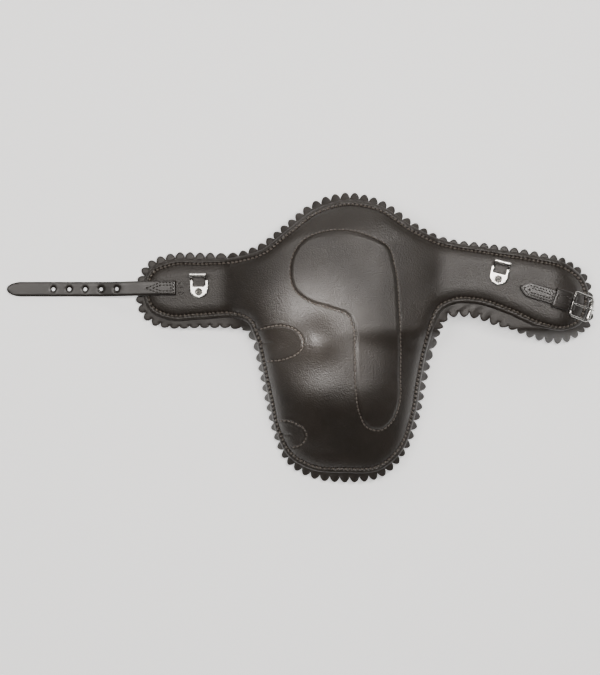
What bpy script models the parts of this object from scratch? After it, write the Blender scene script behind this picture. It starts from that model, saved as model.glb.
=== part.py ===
"""Strap-on leather guard pad with two wrap-round arms, a billet strap and a roller buckle.

The pad lies lining down, outer face up. X runs along the arms, Y up the pad and Z off the table.
Every size is in millimetres; the meshes are built in metres.
"""

import math

import bmesh
import bpy
import numpy as np
from mathutils import Matrix, Vector
from mathutils.geometry import delaunay_2d_cdt

MM = 0.001

# ---- driving dimensions --------------------------------------------------------------------------------
CLEARANCE = 0.3           # between pieces that touch
SHELL = 2.2               # outer leather
STAY = 0.8                # reinforcing patch behind a dart
CORE = 2.4                # foam between shell and lining
LINING = 3.0
RIM = 6.0                 # shell edge outside the stitch line
CORE_RIM = 4.6            # core edge outside the stitch line
TOOTH_PITCH = 10.9        # pinked edge of the lining
TOOTH_DEPTH = 6.0
TOOTH_FILL = 0.72         # flat tops and feet of the teeth, as a share of the depth
THREAD = 0.9
THREAD_RISE = 0.5
SEAT_GAP = 0.5            # under hardware that sits on the curved end of an arm
STRAP_SEAT = CLEARANCE + THREAD_RISE + CLEARANCE    # the sewn end of the strap lies over the edge thread

CROWN_HEIGHT = 62.0       # outer face of the pad over the table, at the crown
CROWN_X = 46.0
SLOPE_BELOW = 0.58        # fall of the crown line towards the lower end
FALL_START_BELOW = -48.0
SLOPE_ABOVE = 0.85
FALL_START_ABOVE = 98.0
FALL_LENGTH = 42.0
HALF_LEFT = 130.0         # half width of the arch at the arms
HALF_RIGHT = 105.0
HALF_BELOW = 101.0        # half width of the arch under the arms
TAPER = 0.21
STEEP = 0.135             # below this share of the arch its side runs on straight
JOIN_LEFT = 24.0          # blend between the arch and each arm
JOIN_RIGHT = 58.0
ARM_RISE = 50.0           # height over which the arch widens into the arms
ARM_MIX = 45.0            # half width of the stretch where one arm's line passes into the other's
ARM_DROP = 40.0           # how far the arms' surface lies below the body's under the arms
ARM_FLOOR = -30.0
ARM_EDGE = 44.0
CUP = ((17, -3), (25, 23), 9.0)             # moulded swellings: place, size, height
CUP_HOLLOW = ((-20, -6), (18, 14), 3.0)
HIP = ((13, -106), (16, 15), 3.0)

LEFT_END = -176.0
LEFT_HEIGHT = 9.6         # outer face of the left arm at its end
LEFT_SLOPE = 0.14
RIGHT_BEND = 268.0        # where the right arm starts to curl down
RIGHT_HEIGHT = 36.6       # outer face of the right arm at its bend
RIGHT_SLOPE = 0.05
CURL_RADIUS = 60.0
CURL_LIMIT = 0.6          # sine of the steepest slope, which then runs on straight

LEFT_JOINT = -66.0        # where the arms bend
RIGHT_JOINT = 150.0

STRAP_WIDTH = 15.9
STRAP_THICKNESS = 3.0
STRAP_Y = 52.6
STRAP_TIP = -316.1
STRAP_POINT = 15.0        # length of the rounded tip
STRAP_SEWN_END = -133.5
STRAP_JOINT = -179.0
STRAP_JOINT_GAP = 2.6
STRAP_FALL = 52.0         # length over which the strap comes down to the table
TACK_LENGTH = 32.0        # arrow of stitches that holds the sewn end
TACK_POINT = 14.0
TACK_MARGIN = 2.5
HOLE = 4.0
HOLE_PITCH = 17.2
HOLES = 5
FIRST_HOLE = -265.8

HANGER_WIDTH = 20.6
HANGER_PLATE = 1.2
HANGER_SLOT = 12.5
HANGER_LIFT = 8.0         # bar over plate
HANGER_BAR = 3.0
HANGER_BAR_LENGTH = 18.5
HANGER_KNEE = 13.2        # where the arms bend up, from the rivet
HANGER_ANGLE = 68.0       # steepness of the bent arms, in degrees
HANGER_FOOT = 3.2         # centre of the rounded foot, from the rivet
HANGER_SILL = 6.2         # lower edge of the slot, from the rivet
RIVET_HEAD = 8.2
RIVET_SHANK = 3.6
BURR = 9.0
BURR_THICKNESS = 0.8
PANEL_INSET = 2.0         # inside the panel's stitch line
LEFT_HANGER = (-108.4, 49.6, 0.0)       # rivet place and turn in degrees
RIGHT_HANGER = (212.2, 63.1, -14.0)

CHAPE_YAW = -17.0
CHAPE_TIP = (235.2, 54.6)
CHAPE_LENGTH = 59.0       # tip to heel bar
CHAPE_THICKNESS = 3.4
CHAPE_POINT = 9.0         # length of its pointed tip
CHAPE_WRAP = 1.6          # leather round the heel bar
CHAPE_ROW = 4.6           # stitch rows, from the middle line
KEEPER_START = 38.0       # from the chape's tip
KEEPER_LENGTH = 16.5
KEEPER_WALL = 1.6
KEEPER_ROOM = 3.8         # height for the strap over the chape
BUCKLE_WIDTH = 28.4       # outside, across the strap
BUCKLE_REACH = 23.6       # heel bar to front bar
BUCKLE_WIRE = 2.4
BUCKLE_CORNER = 2.6
BUCKLE_DROOP = 4.0        # degrees below the leather's own slope at the heel bar
ROLLER = 5.0
TONGUE = 2.2
TONGUE_RING = 1.2         # wall of the tongue's ring
TONGUE_OVERHANG = 3.4

# ---- levels under the outer face, and the net that all layers share ------------------------------------
SHELL_IN = -SHELL
STAY_TOP = SHELL_IN - CLEARANCE
STAY_IN = STAY_TOP - STAY
CORE_TOP = STAY_IN - CLEARANCE
CORE_IN = CORE_TOP - CORE
LINING_TOP = CORE_IN - CLEARANCE
LINING_IN = LINING_TOP - LINING

NET_X = np.concatenate([[-330, -200, -143, -96], np.arange(-80, 150, 19.0), [153, 190, 229, 268],
                        np.arange(277, 340, 9)])
NET_Y = np.arange(-168, 190, 21.0)

# stitch line: x, y, and how far the pinked lining reaches outside it
STITCH = [
    (-164, 52, 14), (-158, 70, 13.5), (-140, 78, 13), (-105, 79.2, 13), (-72, 81, 11.4),
    (-40, 89.5, 13.2), (-10, 113, 14), (20, 135.5, 14.6), (50, 143.2, 13.6), (84, 137.2, 12.4),
    (118, 115.5, 11.4), (150, 100.2, 9.4), (205, 90, 11), (254, 82, 10.6), (286, 74, 11),
    (303, 61, 12.4), (308.6, 42, 12), (303, 21.5, 17.4), (284, 11.6, 23), (260, 15.6, 24.6),
    (225, 30.9, 23), (190, 41.8, 21.4), (166, 42, 20), (149, 33.5, 17), (140.6, 16, 15.4),
    (134, -14, 15), (127.6, -48, 14), (121, -86, 12.6), (107, -120, 12), (84.5, -138.5, 14),
    (50, -141.4, 16.8), (12, -138, 15.2), (-11, -124, 13.4), (-23, -102, 11.5), (-31, -68, 12),
    (-39.5, -28, 12), (-46.5, 3, 13.4), (-53.5, 18.6, 18.4), (-70, 25.8, 19.6), (-108, 25.4, 17.4),
    (-143, 25.3, 17), (-158, 33, 16.6),
]
PANEL = [
    (-10.5, 70.8), (-7.5, 88), (3.5, 104), (22, 112.6), (52, 114.6), (78, 107), (94, 97.5), (101.8, 74),
    (106, 30), (107.4, -35), (105, -76), (99, -89), (86, -98.8), (72, -95.5), (63.5, -80), (59.5, -55),
    (58.5, -15), (57, 10), (51, 24), (36, 30.5), (9, 39.3), (-3, 48), (-9.3, 60),
]
UPPER_DART = [
    (-43.5, 9), (-30, 12.4), (-18, 13.2), (-5, 9), (2.6, 0), (3.6, -8), (-1, -15.5), (-12, -21.4),
    (-36.5, -25.6),
]
LOWER_DART = [
    (-22.5, -89.3), (-14, -88.8), (-3, -92.4), (5.4, -98.6), (7, -106), (2, -114), (-8.5, -118),
]


def material(name, colour, roughness, metallic=0.0):
    made = bpy.data.materials.new(name)
    made.use_nodes = True
    shader = made.node_tree.nodes["Principled BSDF"]
    shader.inputs["Base Color"].default_value = (*colour, 1.0)
    shader.inputs["Roughness"].default_value = roughness
    shader.inputs["Metallic"].default_value = metallic
    return made


def add_object(name, points, faces, finish):
    """One closed mesh, from points in millimetres."""
    mesh = bpy.data.meshes.new(name)
    mesh.from_pydata([tuple(MM * value for value in point) for point in points], [], faces)
    model = bmesh.new()
    model.from_mesh(mesh)
    bmesh.ops.remove_doubles(model, verts=model.verts, dist=1e-7)
    bmesh.ops.recalc_face_normals(model, faces=model.faces)
    model.to_mesh(mesh)
    model.free()
    mesh.shade_smooth()
    mesh.set_sharp_from_angle(angle=math.radians(35))
    mesh.materials.append(finish)
    made = bpy.data.objects.new(name, mesh)
    bpy.context.scene.collection.objects.link(made)
    return made


def boolean(target, cutter, operation):
    modifier = target.modifiers.new(cutter.name, "BOOLEAN")
    modifier.operation = operation
    modifier.object = cutter
    cutter.hide_render = True
    cutter.display_type = "WIRE"


# ---- the pad's form ------------------------------------------------------------------------------------
def ease(t):
    t = np.clip(t, 0.0, 1.0)
    return t * t * (3 - 2 * t)


def fall(distance, slope):
    """A slope that comes in gently over FALL_LENGTH."""
    run = np.clip(distance, 0, None)
    near = slope * run * run / (2 * FALL_LENGTH)
    far = slope * (run - FALL_LENGTH / 2)
    return np.where(run < FALL_LENGTH, near, far)


def arch(across):
    share = 1 - across * across
    edge = math.sqrt(STEEP)
    return np.where(share > STEEP, np.sqrt(np.clip(share, STEEP, None)), edge + (share - STEEP) / (2 * edge))


def mound(x, y, place, size, height):
    return height * np.exp(-(((x - place[0]) / size[0]) ** 2) - ((y - place[1]) / size[1]) ** 2)


def smooth_max(a, b, join):
    overlap = np.clip(join - np.abs(a - b), 0, None) / join
    return np.maximum(a, b) + overlap**3 * join / 6


def right_arm_height(x):
    """Nearly level, then curled down on a cylinder, then straight again."""
    start = math.sin(math.atan(RIGHT_SLOPE))
    turn = np.clip(start + (x - RIGHT_BEND) / CURL_RADIUS, start, CURL_LIMIT)
    curl_end = RIGHT_BEND + CURL_RADIUS * (CURL_LIMIT - start)
    slope = CURL_LIMIT / math.sqrt(1 - CURL_LIMIT * CURL_LIMIT)
    curled = RIGHT_HEIGHT - CURL_RADIUS * (math.cos(math.asin(start)) - np.sqrt(1 - turn * turn))
    curled = curled - slope * np.clip(x - curl_end, 0, None)
    level = RIGHT_HEIGHT - RIGHT_SLOPE * (x - RIGHT_BEND)
    return np.where(x > RIGHT_BEND, curled, level)


def height(x, y):
    """Outer face of the shell."""
    x, y = np.asarray(x, float), np.asarray(y, float)
    up = ease((y + ARM_RISE / 2) / (1.5 * ARM_RISE))
    below = HALF_BELOW - fall(FALL_LENGTH / 2 - y, TAPER)
    half = below + (np.where(x < CROWN_X, HALF_LEFT, HALF_RIGHT) - below) * up
    crown = CROWN_HEIGHT - fall(FALL_START_BELOW - y, SLOPE_BELOW) - fall(y - FALL_START_ABOVE, SLOPE_ABOVE)
    body = crown * arch((x - CROWN_X) / half)
    body = body + mound(x, y, *CUP) - mound(x, y, *CUP_HOLLOW) + mound(x, y, *HIP)
    right = ease((x - CROWN_X + ARM_MIX) / (2 * ARM_MIX))
    arm = (LEFT_HEIGHT + LEFT_SLOPE * (x - LEFT_END)) * (1 - right) + right_arm_height(x) * right
    arm = arm - ARM_DROP * (1 - ease((y - ARM_FLOOR) / ARM_EDGE))
    return smooth_max(body, arm, JOIN_LEFT + (JOIN_RIGHT - JOIN_LEFT) * right)


def normal(x, y):
    step = 0.5
    slope_x = (height(x + step, y) - height(x - step, y)) / (2 * step)
    slope_y = (height(x, y + step) - height(x, y - step)) / (2 * step)
    vector = np.stack([-slope_x, -slope_y, np.ones_like(slope_x)], axis=-1)
    return vector / np.linalg.norm(vector, axis=-1, keepdims=True)


GRID_X, GRID_Y = np.meshgrid(NET_X, NET_Y, indexing="ij")
NET_POINTS = np.stack([GRID_X, GRID_Y, height(GRID_X, GRID_Y)], axis=-1)
NET_NORMALS = normal(GRID_X, GRID_Y)


def on_pad(x, y, level):
    """Points at a level from the outer face, on the flat triangles of the shared net."""
    i = np.clip(np.searchsorted(NET_X, x, side="right") - 1, 0, len(NET_X) - 2)
    j = np.clip(np.searchsorted(NET_Y, y, side="right") - 1, 0, len(NET_Y) - 2)
    u = (x - NET_X[i]) / (NET_X[i + 1] - NET_X[i])
    v = (y - NET_Y[j]) / (NET_Y[j + 1] - NET_Y[j])
    field = NET_POINTS + level * NET_NORMALS
    first, last = field[i, j], field[i + 1, j + 1]
    corner = np.where((u > v)[:, None], field[i + 1, j], field[i, j + 1])
    high, low = np.maximum(u, v)[:, None], np.minimum(u, v)[:, None]
    return first * (1 - high) + corner * (high - low) + last * low


def pad_net(low, high):
    """Net lines as corner points and edges, over the box of an outline."""
    i0, i1 = np.searchsorted(NET_X, low[0]) - 1, np.searchsorted(NET_X, high[0])
    j0, j1 = np.searchsorted(NET_Y, low[1]) - 1, np.searchsorted(NET_Y, high[1])
    points, edges, place = [], [], {}
    for i in range(i0, i1 + 1):
        for j in range(j0, j1 + 1):
            place[i, j] = len(points)
            points.append((NET_X[i], NET_Y[j]))
    for i, j in place:
        for other in ((i + 1, j), (i, j + 1), (i + 1, j + 1)):
            if other in place:
                edges.append((place[i, j], place[other]))
    return points, edges


def inside(points, loops):
    """Even-odd test of points against closed loops."""
    within = np.zeros(len(points), bool)
    for loop in loops:
        ends = np.roll(loop, -1, axis=0)
        for (ax, ay), (bx, by) in zip(loop, ends):
            crosses = (ay > points[:, 1]) != (by > points[:, 1])
            reach = ax + (points[:, 1] - ay) / (by - ay if by != ay else 1e-9) * (bx - ax)
            within ^= crosses & (points[:, 0] < reach)
    return within


def largest_piece(faces):
    """The biggest group of faces joined by their edges, without slivers of teeth cut off by a joint line."""
    by_edge = {}
    for number, face in enumerate(faces):
        for a, b in zip(face, face[1:] + face[:1]):
            by_edge.setdefault(frozenset((a, b)), []).append(number)
    group = list(range(len(faces)))

    def root(number):
        while group[number] != number:
            number = group[number]
        return number

    for pair in by_edge.values():
        group[root(pair[0])] = root(pair[-1])
    roots = [root(number) for number in range(len(faces))]
    biggest = max(set(roots), key=roots.count)
    return [face for face, found in zip(faces, roots) if found == biggest]


def layer(name, loops, levels, finish, place=on_pad, net=pad_net, x_range=None, keep=None):
    """A closed sheet between two levels, over the flat area inside closed loops."""
    loops = [np.asarray(loop, float) for loop in loops]
    low, high = loops[0].min(axis=0), loops[0].max(axis=0)
    points, edges = net(low, high)
    for loop in loops:
        first = len(points)
        points += [tuple(point) for point in loop]
        edges += [(first + k, first + (k + 1) % len(loop)) for k in range(len(loop))]
    for cut in x_range or ():
        edges.append((len(points), len(points) + 1))
        points += [(cut, low[1] - 20), (cut, high[1] + 20)]
    flat = [Vector((float(px), float(py))) for px, py in points]
    found, _, faces, _, _, _ = delaunay_2d_cdt(flat, edges, [], 0, 1e-5)
    spots = np.array([(point.x, point.y) for point in found])
    faces = [face for face in faces if len(face) == 3]
    centres = np.array([spots[list(face)].mean(axis=0) for face in faces])
    wanted = inside(centres, loops)
    if x_range:
        wanted &= (centres[:, 0] > x_range[0]) & (centres[:, 0] < x_range[1])
    if keep:
        wanted &= keep(centres)
    faces = largest_piece([face for face, good in zip(faces, wanted) if good])
    used = sorted({corner for face in faces for corner in face})
    index = {corner: number for number, corner in enumerate(used)}
    spots = spots[used]
    faces = [tuple(index[corner] for corner in face) for face in faces]
    count = len(used)
    solid = [place(spots[:, 0], spots[:, 1], level) for level in sorted(levels)]
    sides = {(a, b) for face in faces for a, b in zip(face, face[1:] + face[:1])}
    border = [(a, b) for a, b in sides if (b, a) not in sides]
    skin = [face[::-1] for face in faces] + [tuple(corner + count for corner in face) for face in faces]
    skin += [(a, b, b + count, a + count) for a, b in border]
    return add_object(name, np.concatenate(solid), skin, finish)


# ---- outlines ------------------------------------------------------------------------------------------
def smooth_curve(knots, closed, step=0.5):
    """A smooth curve through the knots, as points about a step apart; extra columns are carried along."""
    knots = np.asarray(knots, float)
    count = len(knots)
    chord = np.linalg.norm(np.roll(knots, -1, axis=0)[:, :2] - knots[:, :2], axis=1)
    if not closed:
        chord = chord[:-1]

    def slope(k):
        before, after = (k - 1) % count, (k + 1) % count
        if not closed and k == 0:
            return (knots[1] - knots[0]) / chord[0]
        if not closed and k == count - 1:
            return (knots[-1] - knots[-2]) / chord[-1]
        back, ahead = (knots[k] - knots[before]) / chord[before], (knots[after] - knots[k]) / chord[k]
        return (back * chord[k] + ahead * chord[before]) / (chord[k] + chord[before])

    pieces = []
    for k in range(len(chord)):
        a, b = knots[k], knots[(k + 1) % count]
        pull_a, pull_b = slope(k) * chord[k], slope((k + 1) % count) * chord[k]
        t = np.linspace(0, 1, max(2, round(chord[k] / step)), endpoint=False)[:, None]
        pieces.append(a * (2 * t**3 - 3 * t**2 + 1) + b * (3 * t**2 - 2 * t**3)
                      + pull_a * (t**3 - 2 * t**2 + t) + pull_b * (t**3 - t**2))
    if not closed:
        pieces.append(knots[-1:])
    return np.concatenate(pieces)


def lengths_along(curve, closed=True):
    if closed:
        curve = np.concatenate([curve, curve[:1]])
    return np.concatenate([[0], np.cumsum(np.linalg.norm(np.diff(curve[:, :2], axis=0), axis=1))])


def resample(curve, spots, closed=True):
    """Points of a curve at given lengths along it."""
    along = lengths_along(curve, closed)
    if closed:
        curve = np.concatenate([curve, curve[:1]])
    return np.stack([np.interp(spots, along, column) for column in curve.T], axis=1)


def thinned(curve, step, closed=True):
    total = lengths_along(curve, closed)[-1]
    count = max(3, round(total / step))
    return resample(curve, np.linspace(0, total, count, endpoint=not closed), closed)


def outward(curve, closed=True):
    """Unit vectors to the left-hand side of the run, which is outside for a clockwise loop."""
    if closed:
        run = np.roll(curve, -1, axis=0) - np.roll(curve, 1, axis=0)
    else:
        run = np.gradient(curve, axis=0)
    run = run[:, :2] / np.linalg.norm(run[:, :2], axis=1, keepdims=True)
    return np.stack([-run[:, 1], run[:, 0]], axis=1)


def offset(curve, distance, closed=True):
    distance = np.broadcast_to(distance, (len(curve),))
    return curve[:, :2] + outward(curve, closed) * distance[:, None]


def band(curve, width, closed=True, step=12.0):
    """The outline, or pair of outlines, of a narrow band along a curve."""
    curve = thinned(curve, step, closed)
    left, right = offset(curve, width / 2, closed), offset(curve, -width / 2, closed)
    if closed:
        return [left, right]
    return [np.concatenate([left, right[::-1]])]


def ring(centre, diameter, sides=10):
    turn = np.arange(sides) * 2 * math.pi / sides
    return np.stack([centre[0] + diameter / 2 * np.cos(turn), centre[1] + diameter / 2 * np.sin(turn)], axis=1)


def pinked(curve):
    """The lining's toothed outline."""
    base = offset(curve, curve[:, 2] - TOOTH_DEPTH / 2)
    total = lengths_along(base)[-1]
    teeth = round(total / TOOTH_PITCH)
    spots = (np.arange(4 * teeth) + 0.5) * total / (4 * teeth)
    edge = resample(base, spots)
    wave = np.tile([-TOOTH_FILL, TOOTH_FILL, TOOTH_FILL, -TOOTH_FILL], teeth) * TOOTH_DEPTH / 2
    return offset(edge, wave)


# ---- the soft layers -----------------------------------------------------------------------------------
LEFT_SIDE = (-400, LEFT_JOINT - CLEARANCE / 2)
CENTRE = (LEFT_JOINT + CLEARANCE / 2, RIGHT_JOINT - CLEARANCE / 2)
RIGHT_SIDE = (RIGHT_JOINT + CLEARANCE / 2, 400)
SIDES = (("left_arm", LEFT_SIDE), ("centre", CENTRE), ("right_arm", RIGHT_SIDE))


def rivet_holes():
    return [ring(place, RIVET_SHANK + 2 * CLEARANCE) for place in (LEFT_HANGER, RIGHT_HANGER)]


def soft_layers(finishes):
    stitch = smooth_curve(STITCH, True)
    panel = smooth_curve(PANEL, True)
    shell = thinned(offset(stitch, RIM), 9.0)
    core = thinned(offset(stitch, CORE_RIM), 9.0)
    lining = pinked(stitch)
    insert = thinned(offset(panel, -PANEL_INSET), 10.0)
    window = offset(insert, 2 * CLEARANCE)
    holes = rivet_holes()
    for side, x_range in SIDES:
        layer(f"shell_{side}", [shell] + holes, (SHELL_IN, 0), finishes["leather"], x_range=x_range)
        layer(f"lining_{side}", [lining] + holes, (LINING_IN, LINING_TOP), finishes["lining"], x_range=x_range)
        cuts = holes + ([window] if side == "centre" else [])
        layer(f"core_{side}", [core] + cuts, (CORE_IN, CORE_TOP), finishes["foam"], x_range=x_range)
    layer("panel_insert", [insert], (CORE_IN, STAY_TOP), finishes["board"])
    for name, knots in (("upper", UPPER_DART), ("lower", LOWER_DART)):
        dart = smooth_curve(knots, False)
        patch = thinned(dart, 7.0, closed=False)
        line = band(dart, THREAD, closed=False, step=6.0)
        layer(f"{name}_dart_stay", [patch], (STAY_IN, STAY_TOP), finishes["board"])
        layer(f"{name}_dart_thread", line, thread_levels(), finishes["thread"])
    layer("panel_thread", band(panel, THREAD), thread_levels(), finishes["thread"])
    edge = band(stitch, THREAD)
    for side, x_range in SIDES[::2]:
        layer(f"edge_thread_{side}", edge, thread_levels(), finishes["thread"], x_range=x_range)
    for side, above in (("top", True), ("skirt", False)):
        layer(f"edge_thread_{side}", edge, thread_levels(), finishes["thread"], x_range=CENTRE,
              keep=lambda spots, above=above: (spots[:, 1] > 50) == above)


def thread_levels():
    return CLEARANCE, CLEARANCE + THREAD_RISE


# ---- strap ---------------------------------------------------------------------------------------------
def strap_net(low, high):
    points, edges = [], []
    for x in np.arange(STRAP_JOINT - STRAP_FALL - 9, STRAP_JOINT + 3, 6.0):
        edges.append((len(points), len(points) + 1))
        points += [(x, low[1] - 5), (x, high[1] + 5)]
    return points, edges


def strap_height(x):
    """Middle of the free strap: level with the arm at its joint, then down on to the table."""
    top = LEFT_HEIGHT + LEFT_SLOPE * (STRAP_JOINT - LEFT_END) + STRAP_SEAT + STRAP_THICKNESS / 2
    bottom = STRAP_THICKNESS / 2
    return bottom + (top - bottom) * ease((x - (STRAP_JOINT - STRAP_FALL)) / STRAP_FALL)


def on_strap(x, y, level):
    slope = (strap_height(x + 0.5) - strap_height(x - 0.5))
    length = np.sqrt(1 + slope * slope)
    return np.stack([x - level * slope / length, y, strap_height(x) + level / length], axis=1)


def strap(finishes):
    half = STRAP_WIDTH / 2
    shares = (-1, -0.9, -0.7, -0.42, 0, 0.42, 0.7, 0.9, 1)
    outline = [(STRAP_TIP + STRAP_POINT * (1 - math.sqrt(1 - t * t)), STRAP_Y + half * t) for t in shares]
    outline += [(STRAP_JOINT, STRAP_Y + half), (STRAP_JOINT, STRAP_Y - half)]
    holes = [ring((FIRST_HOLE + HOLE_PITCH * k, STRAP_Y), HOLE, 12) for k in range(HOLES)]
    levels = (-STRAP_THICKNESS / 2, STRAP_THICKNESS / 2)
    layer("strap_billet", [outline] + holes, levels, finishes["strap"], place=on_strap, net=strap_net)
    start = STRAP_JOINT + STRAP_JOINT_GAP
    tab = [(start, STRAP_Y - half), (start, STRAP_Y + half), (STRAP_SEWN_END, STRAP_Y + half),
           (STRAP_SEWN_END, STRAP_Y - half)]
    layer("strap_tab", [tab], (STRAP_SEAT, STRAP_SEAT + STRAP_THICKNESS), finishes["strap"])
    point, back = STRAP_SEWN_END - TACK_LENGTH, STRAP_SEWN_END - TACK_MARGIN
    shoulder, reach = point + TACK_POINT, half - TACK_MARGIN
    arrow = np.array([(point, STRAP_Y), (shoulder, STRAP_Y + reach), (back, STRAP_Y + reach),
                      (back, STRAP_Y - reach), (shoulder, STRAP_Y - reach)])
    top = STRAP_SEAT + STRAP_THICKNESS + CLEARANCE
    layer("strap_tab_thread", band(arrow, THREAD, step=8.0), (top, top + THREAD_RISE), finishes["thread"])


# ---- hangers and rivets --------------------------------------------------------------------------------
def arm_frame(x, y, turn):
    """A frame on a flat stretch of an arm: its X and Y lie in the leather, Z stands off it."""
    spot = np.array([float(x)]), np.array([float(y)])
    up = Vector(normal(*spot)[0])
    across = Vector((0, 1, 0)).cross(up).normalized()
    along = up.cross(across)
    frame = Matrix((across, along, up)).transposed().to_4x4() @ Matrix.Rotation(math.radians(turn), 4, "Z")
    frame.translation = Vector((x, y, float(height(*spot)[0])))
    return frame


def moved(frame, points):
    return [tuple(frame @ Vector(point)) for point in points]


def hanger(name, place, finish):
    """A stamped plate whose two arms bend up to a bar; a strap passes through the slot, under the bar."""
    frame = arm_frame(*place)
    half, slot = HANGER_WIDTH / 2, HANGER_SLOT / 2
    lean = math.radians(HANGER_ANGLE)
    rise = HANGER_LIFT / math.sin(lean)
    knee = HANGER_KNEE
    shoulder = knee + rise
    end = shoulder + HANGER_BAR

    def place_hanger(a, b, level):
        flat = np.minimum(b, knee)
        climb = np.clip(b - knee, 0, rise)
        over = np.clip(b - shoulder, 0, None)
        y = flat + climb * math.cos(lean) + over
        z = level + climb * math.sin(lean)
        return np.array(moved(frame, np.stack([a, y, z], axis=1)))

    def bends(low, high):
        return ([(low[0] - 2, knee), (high[0] + 2, knee), (low[0] - 2, shoulder), (high[0] + 2, shoulder)],
                [(0, 1), (2, 3)])

    bar = HANGER_BAR_LENGTH / 2
    bottom = [(half * math.cos(t), half * math.sin(t) + HANGER_FOOT) for t in np.linspace(math.pi, 2 * math.pi, 13)]
    left = [(-bar, end), (-bar, shoulder), (-half, knee - 1)]
    right = [(-x, y) for x, y in left[::-1]]
    outline = left + bottom + right
    opening = [(-slot, HANGER_SILL), (slot, HANGER_SILL), (slot, shoulder), (-slot, shoulder)]
    hole = ring((0, 0), RIVET_SHANK + 2 * CLEARANCE)
    return layer(name, [outline[::-1], opening, hole], (CLEARANCE, CLEARANCE + HANGER_PLATE), finish,
                 place=place_hanger, net=bends)


def turned(name, profile, frame, finish, sides=16):
    """A solid of revolution from (radius, height) pairs, first and last on the axis."""
    points = [(0, 0, profile[0][1])]
    for radius, z in profile[1:-1]:
        for k in range(sides):
            turn = 2 * math.pi * k / sides
            points.append((radius * math.cos(turn), radius * math.sin(turn), z))
    points.append((0, 0, profile[-1][1]))
    last = len(points) - 1
    faces = []
    for k in range(sides):
        after = (k + 1) % sides
        faces.append((0, 1 + k, 1 + after))
        faces.append((last, last - sides + after, last - sides + k))
        for row in range(len(profile) - 3):
            a, b = 1 + row * sides, 1 + (row + 1) * sides
            faces.append((a + k, b + k, b + after, a + after))
    return add_object(name, moved(frame, points), faces, finish)


def rivet(side, place, finishes):
    frame = arm_frame(*place)
    seat = CLEARANCE + HANGER_PLATE + CLEARANCE
    burr_top = LINING_IN - CLEARANCE
    burr_low = burr_top - BURR_THICKNESS
    head, shank = RIVET_HEAD / 2, RIVET_SHANK / 2
    set_end = burr_low - CLEARANCE
    dome = [(0, seat + 1.7), (head * 0.5, seat + 1.5), (head * 0.85, seat + 0.9), (head, seat + 0.2), (head, seat)]
    tail = [(shank, set_end), (shank + 1, set_end), (shank + 0.8, set_end - 0.7), (0, set_end - 0.9)]
    profile = dome + [(shank, seat)] + tail
    turned(f"rivet_{side}", profile, frame, finishes["nickel"])
    bore = shank + CLEARANCE
    washer = [ring((0, 0), BURR, 16), ring((0, 0), 2 * bore, 16)]
    layer(f"rivet_burr_{side}", washer, (burr_low, burr_top), finishes["nickel"],
          place=lambda a, b, level: np.array(moved(frame, np.stack([a, b, np.full_like(a, level)], axis=1))),
          net=lambda low, high: ([], []))


# ---- chape, keeper and buckle --------------------------------------------------------------------------
def on_chape(u, v, level):
    """Points given along the chape from its tip, across it, and off the right arm's outer face."""
    tilt = math.atan(RIGHT_SLOPE)
    yaw = math.radians(CHAPE_YAW)
    flat_x = (CHAPE_TIP[0] - RIGHT_BEND) / math.cos(tilt) + u * math.cos(yaw) - v * math.sin(yaw)
    y = CHAPE_TIP[1] + u * math.sin(yaw) + v * math.cos(yaw)
    turn = tilt + np.clip(flat_x, 0, None) / CURL_RADIUS
    straight = np.minimum(flat_x, 0)
    x = RIGHT_BEND + straight * math.cos(tilt) + CURL_RADIUS * (np.sin(turn) - math.sin(tilt)) + level * np.sin(turn)
    z = RIGHT_HEIGHT - straight * math.sin(tilt) - CURL_RADIUS * (math.cos(tilt) - np.cos(turn))
    z = z + level * np.cos(turn)
    return np.stack([x, y, z], axis=1)


def chape_net(low, high):
    points, edges = [], []
    for u in np.arange(low[0] + 5, high[0], 5.0):
        edges.append((len(points), len(points) + 1))
        points += [(u, low[1] - 2), (u, high[1] + 2)]
    return points, edges


def swept(name, section, stations, finish, place):
    """A closed section carried through stations, with flat ends; place(station, a, b) gives the points."""
    points, count = [], len(section)
    for station in stations:
        points += [tuple(point) for point in place(station, section)]
    faces = [tuple(range(count)), tuple(range(len(points) - 1, len(points) - count - 1, -1))]
    for row in range(len(stations) - 1):
        for k in range(count):
            after = (k + 1) % count
            a, b = row * count, (row + 1) * count
            faces.append((a + k, b + k, b + after, a + after))
    return add_object(name, points, faces, finish)


HEEL_RADIUS = BUCKLE_WIRE / 2
LOOP_INNER = HEEL_RADIUS + CLEARANCE + 0.1
LOOP_OUTER = LOOP_INNER + CHAPE_WRAP
HEEL_LEVEL = SEAT_GAP + LOOP_OUTER


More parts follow.
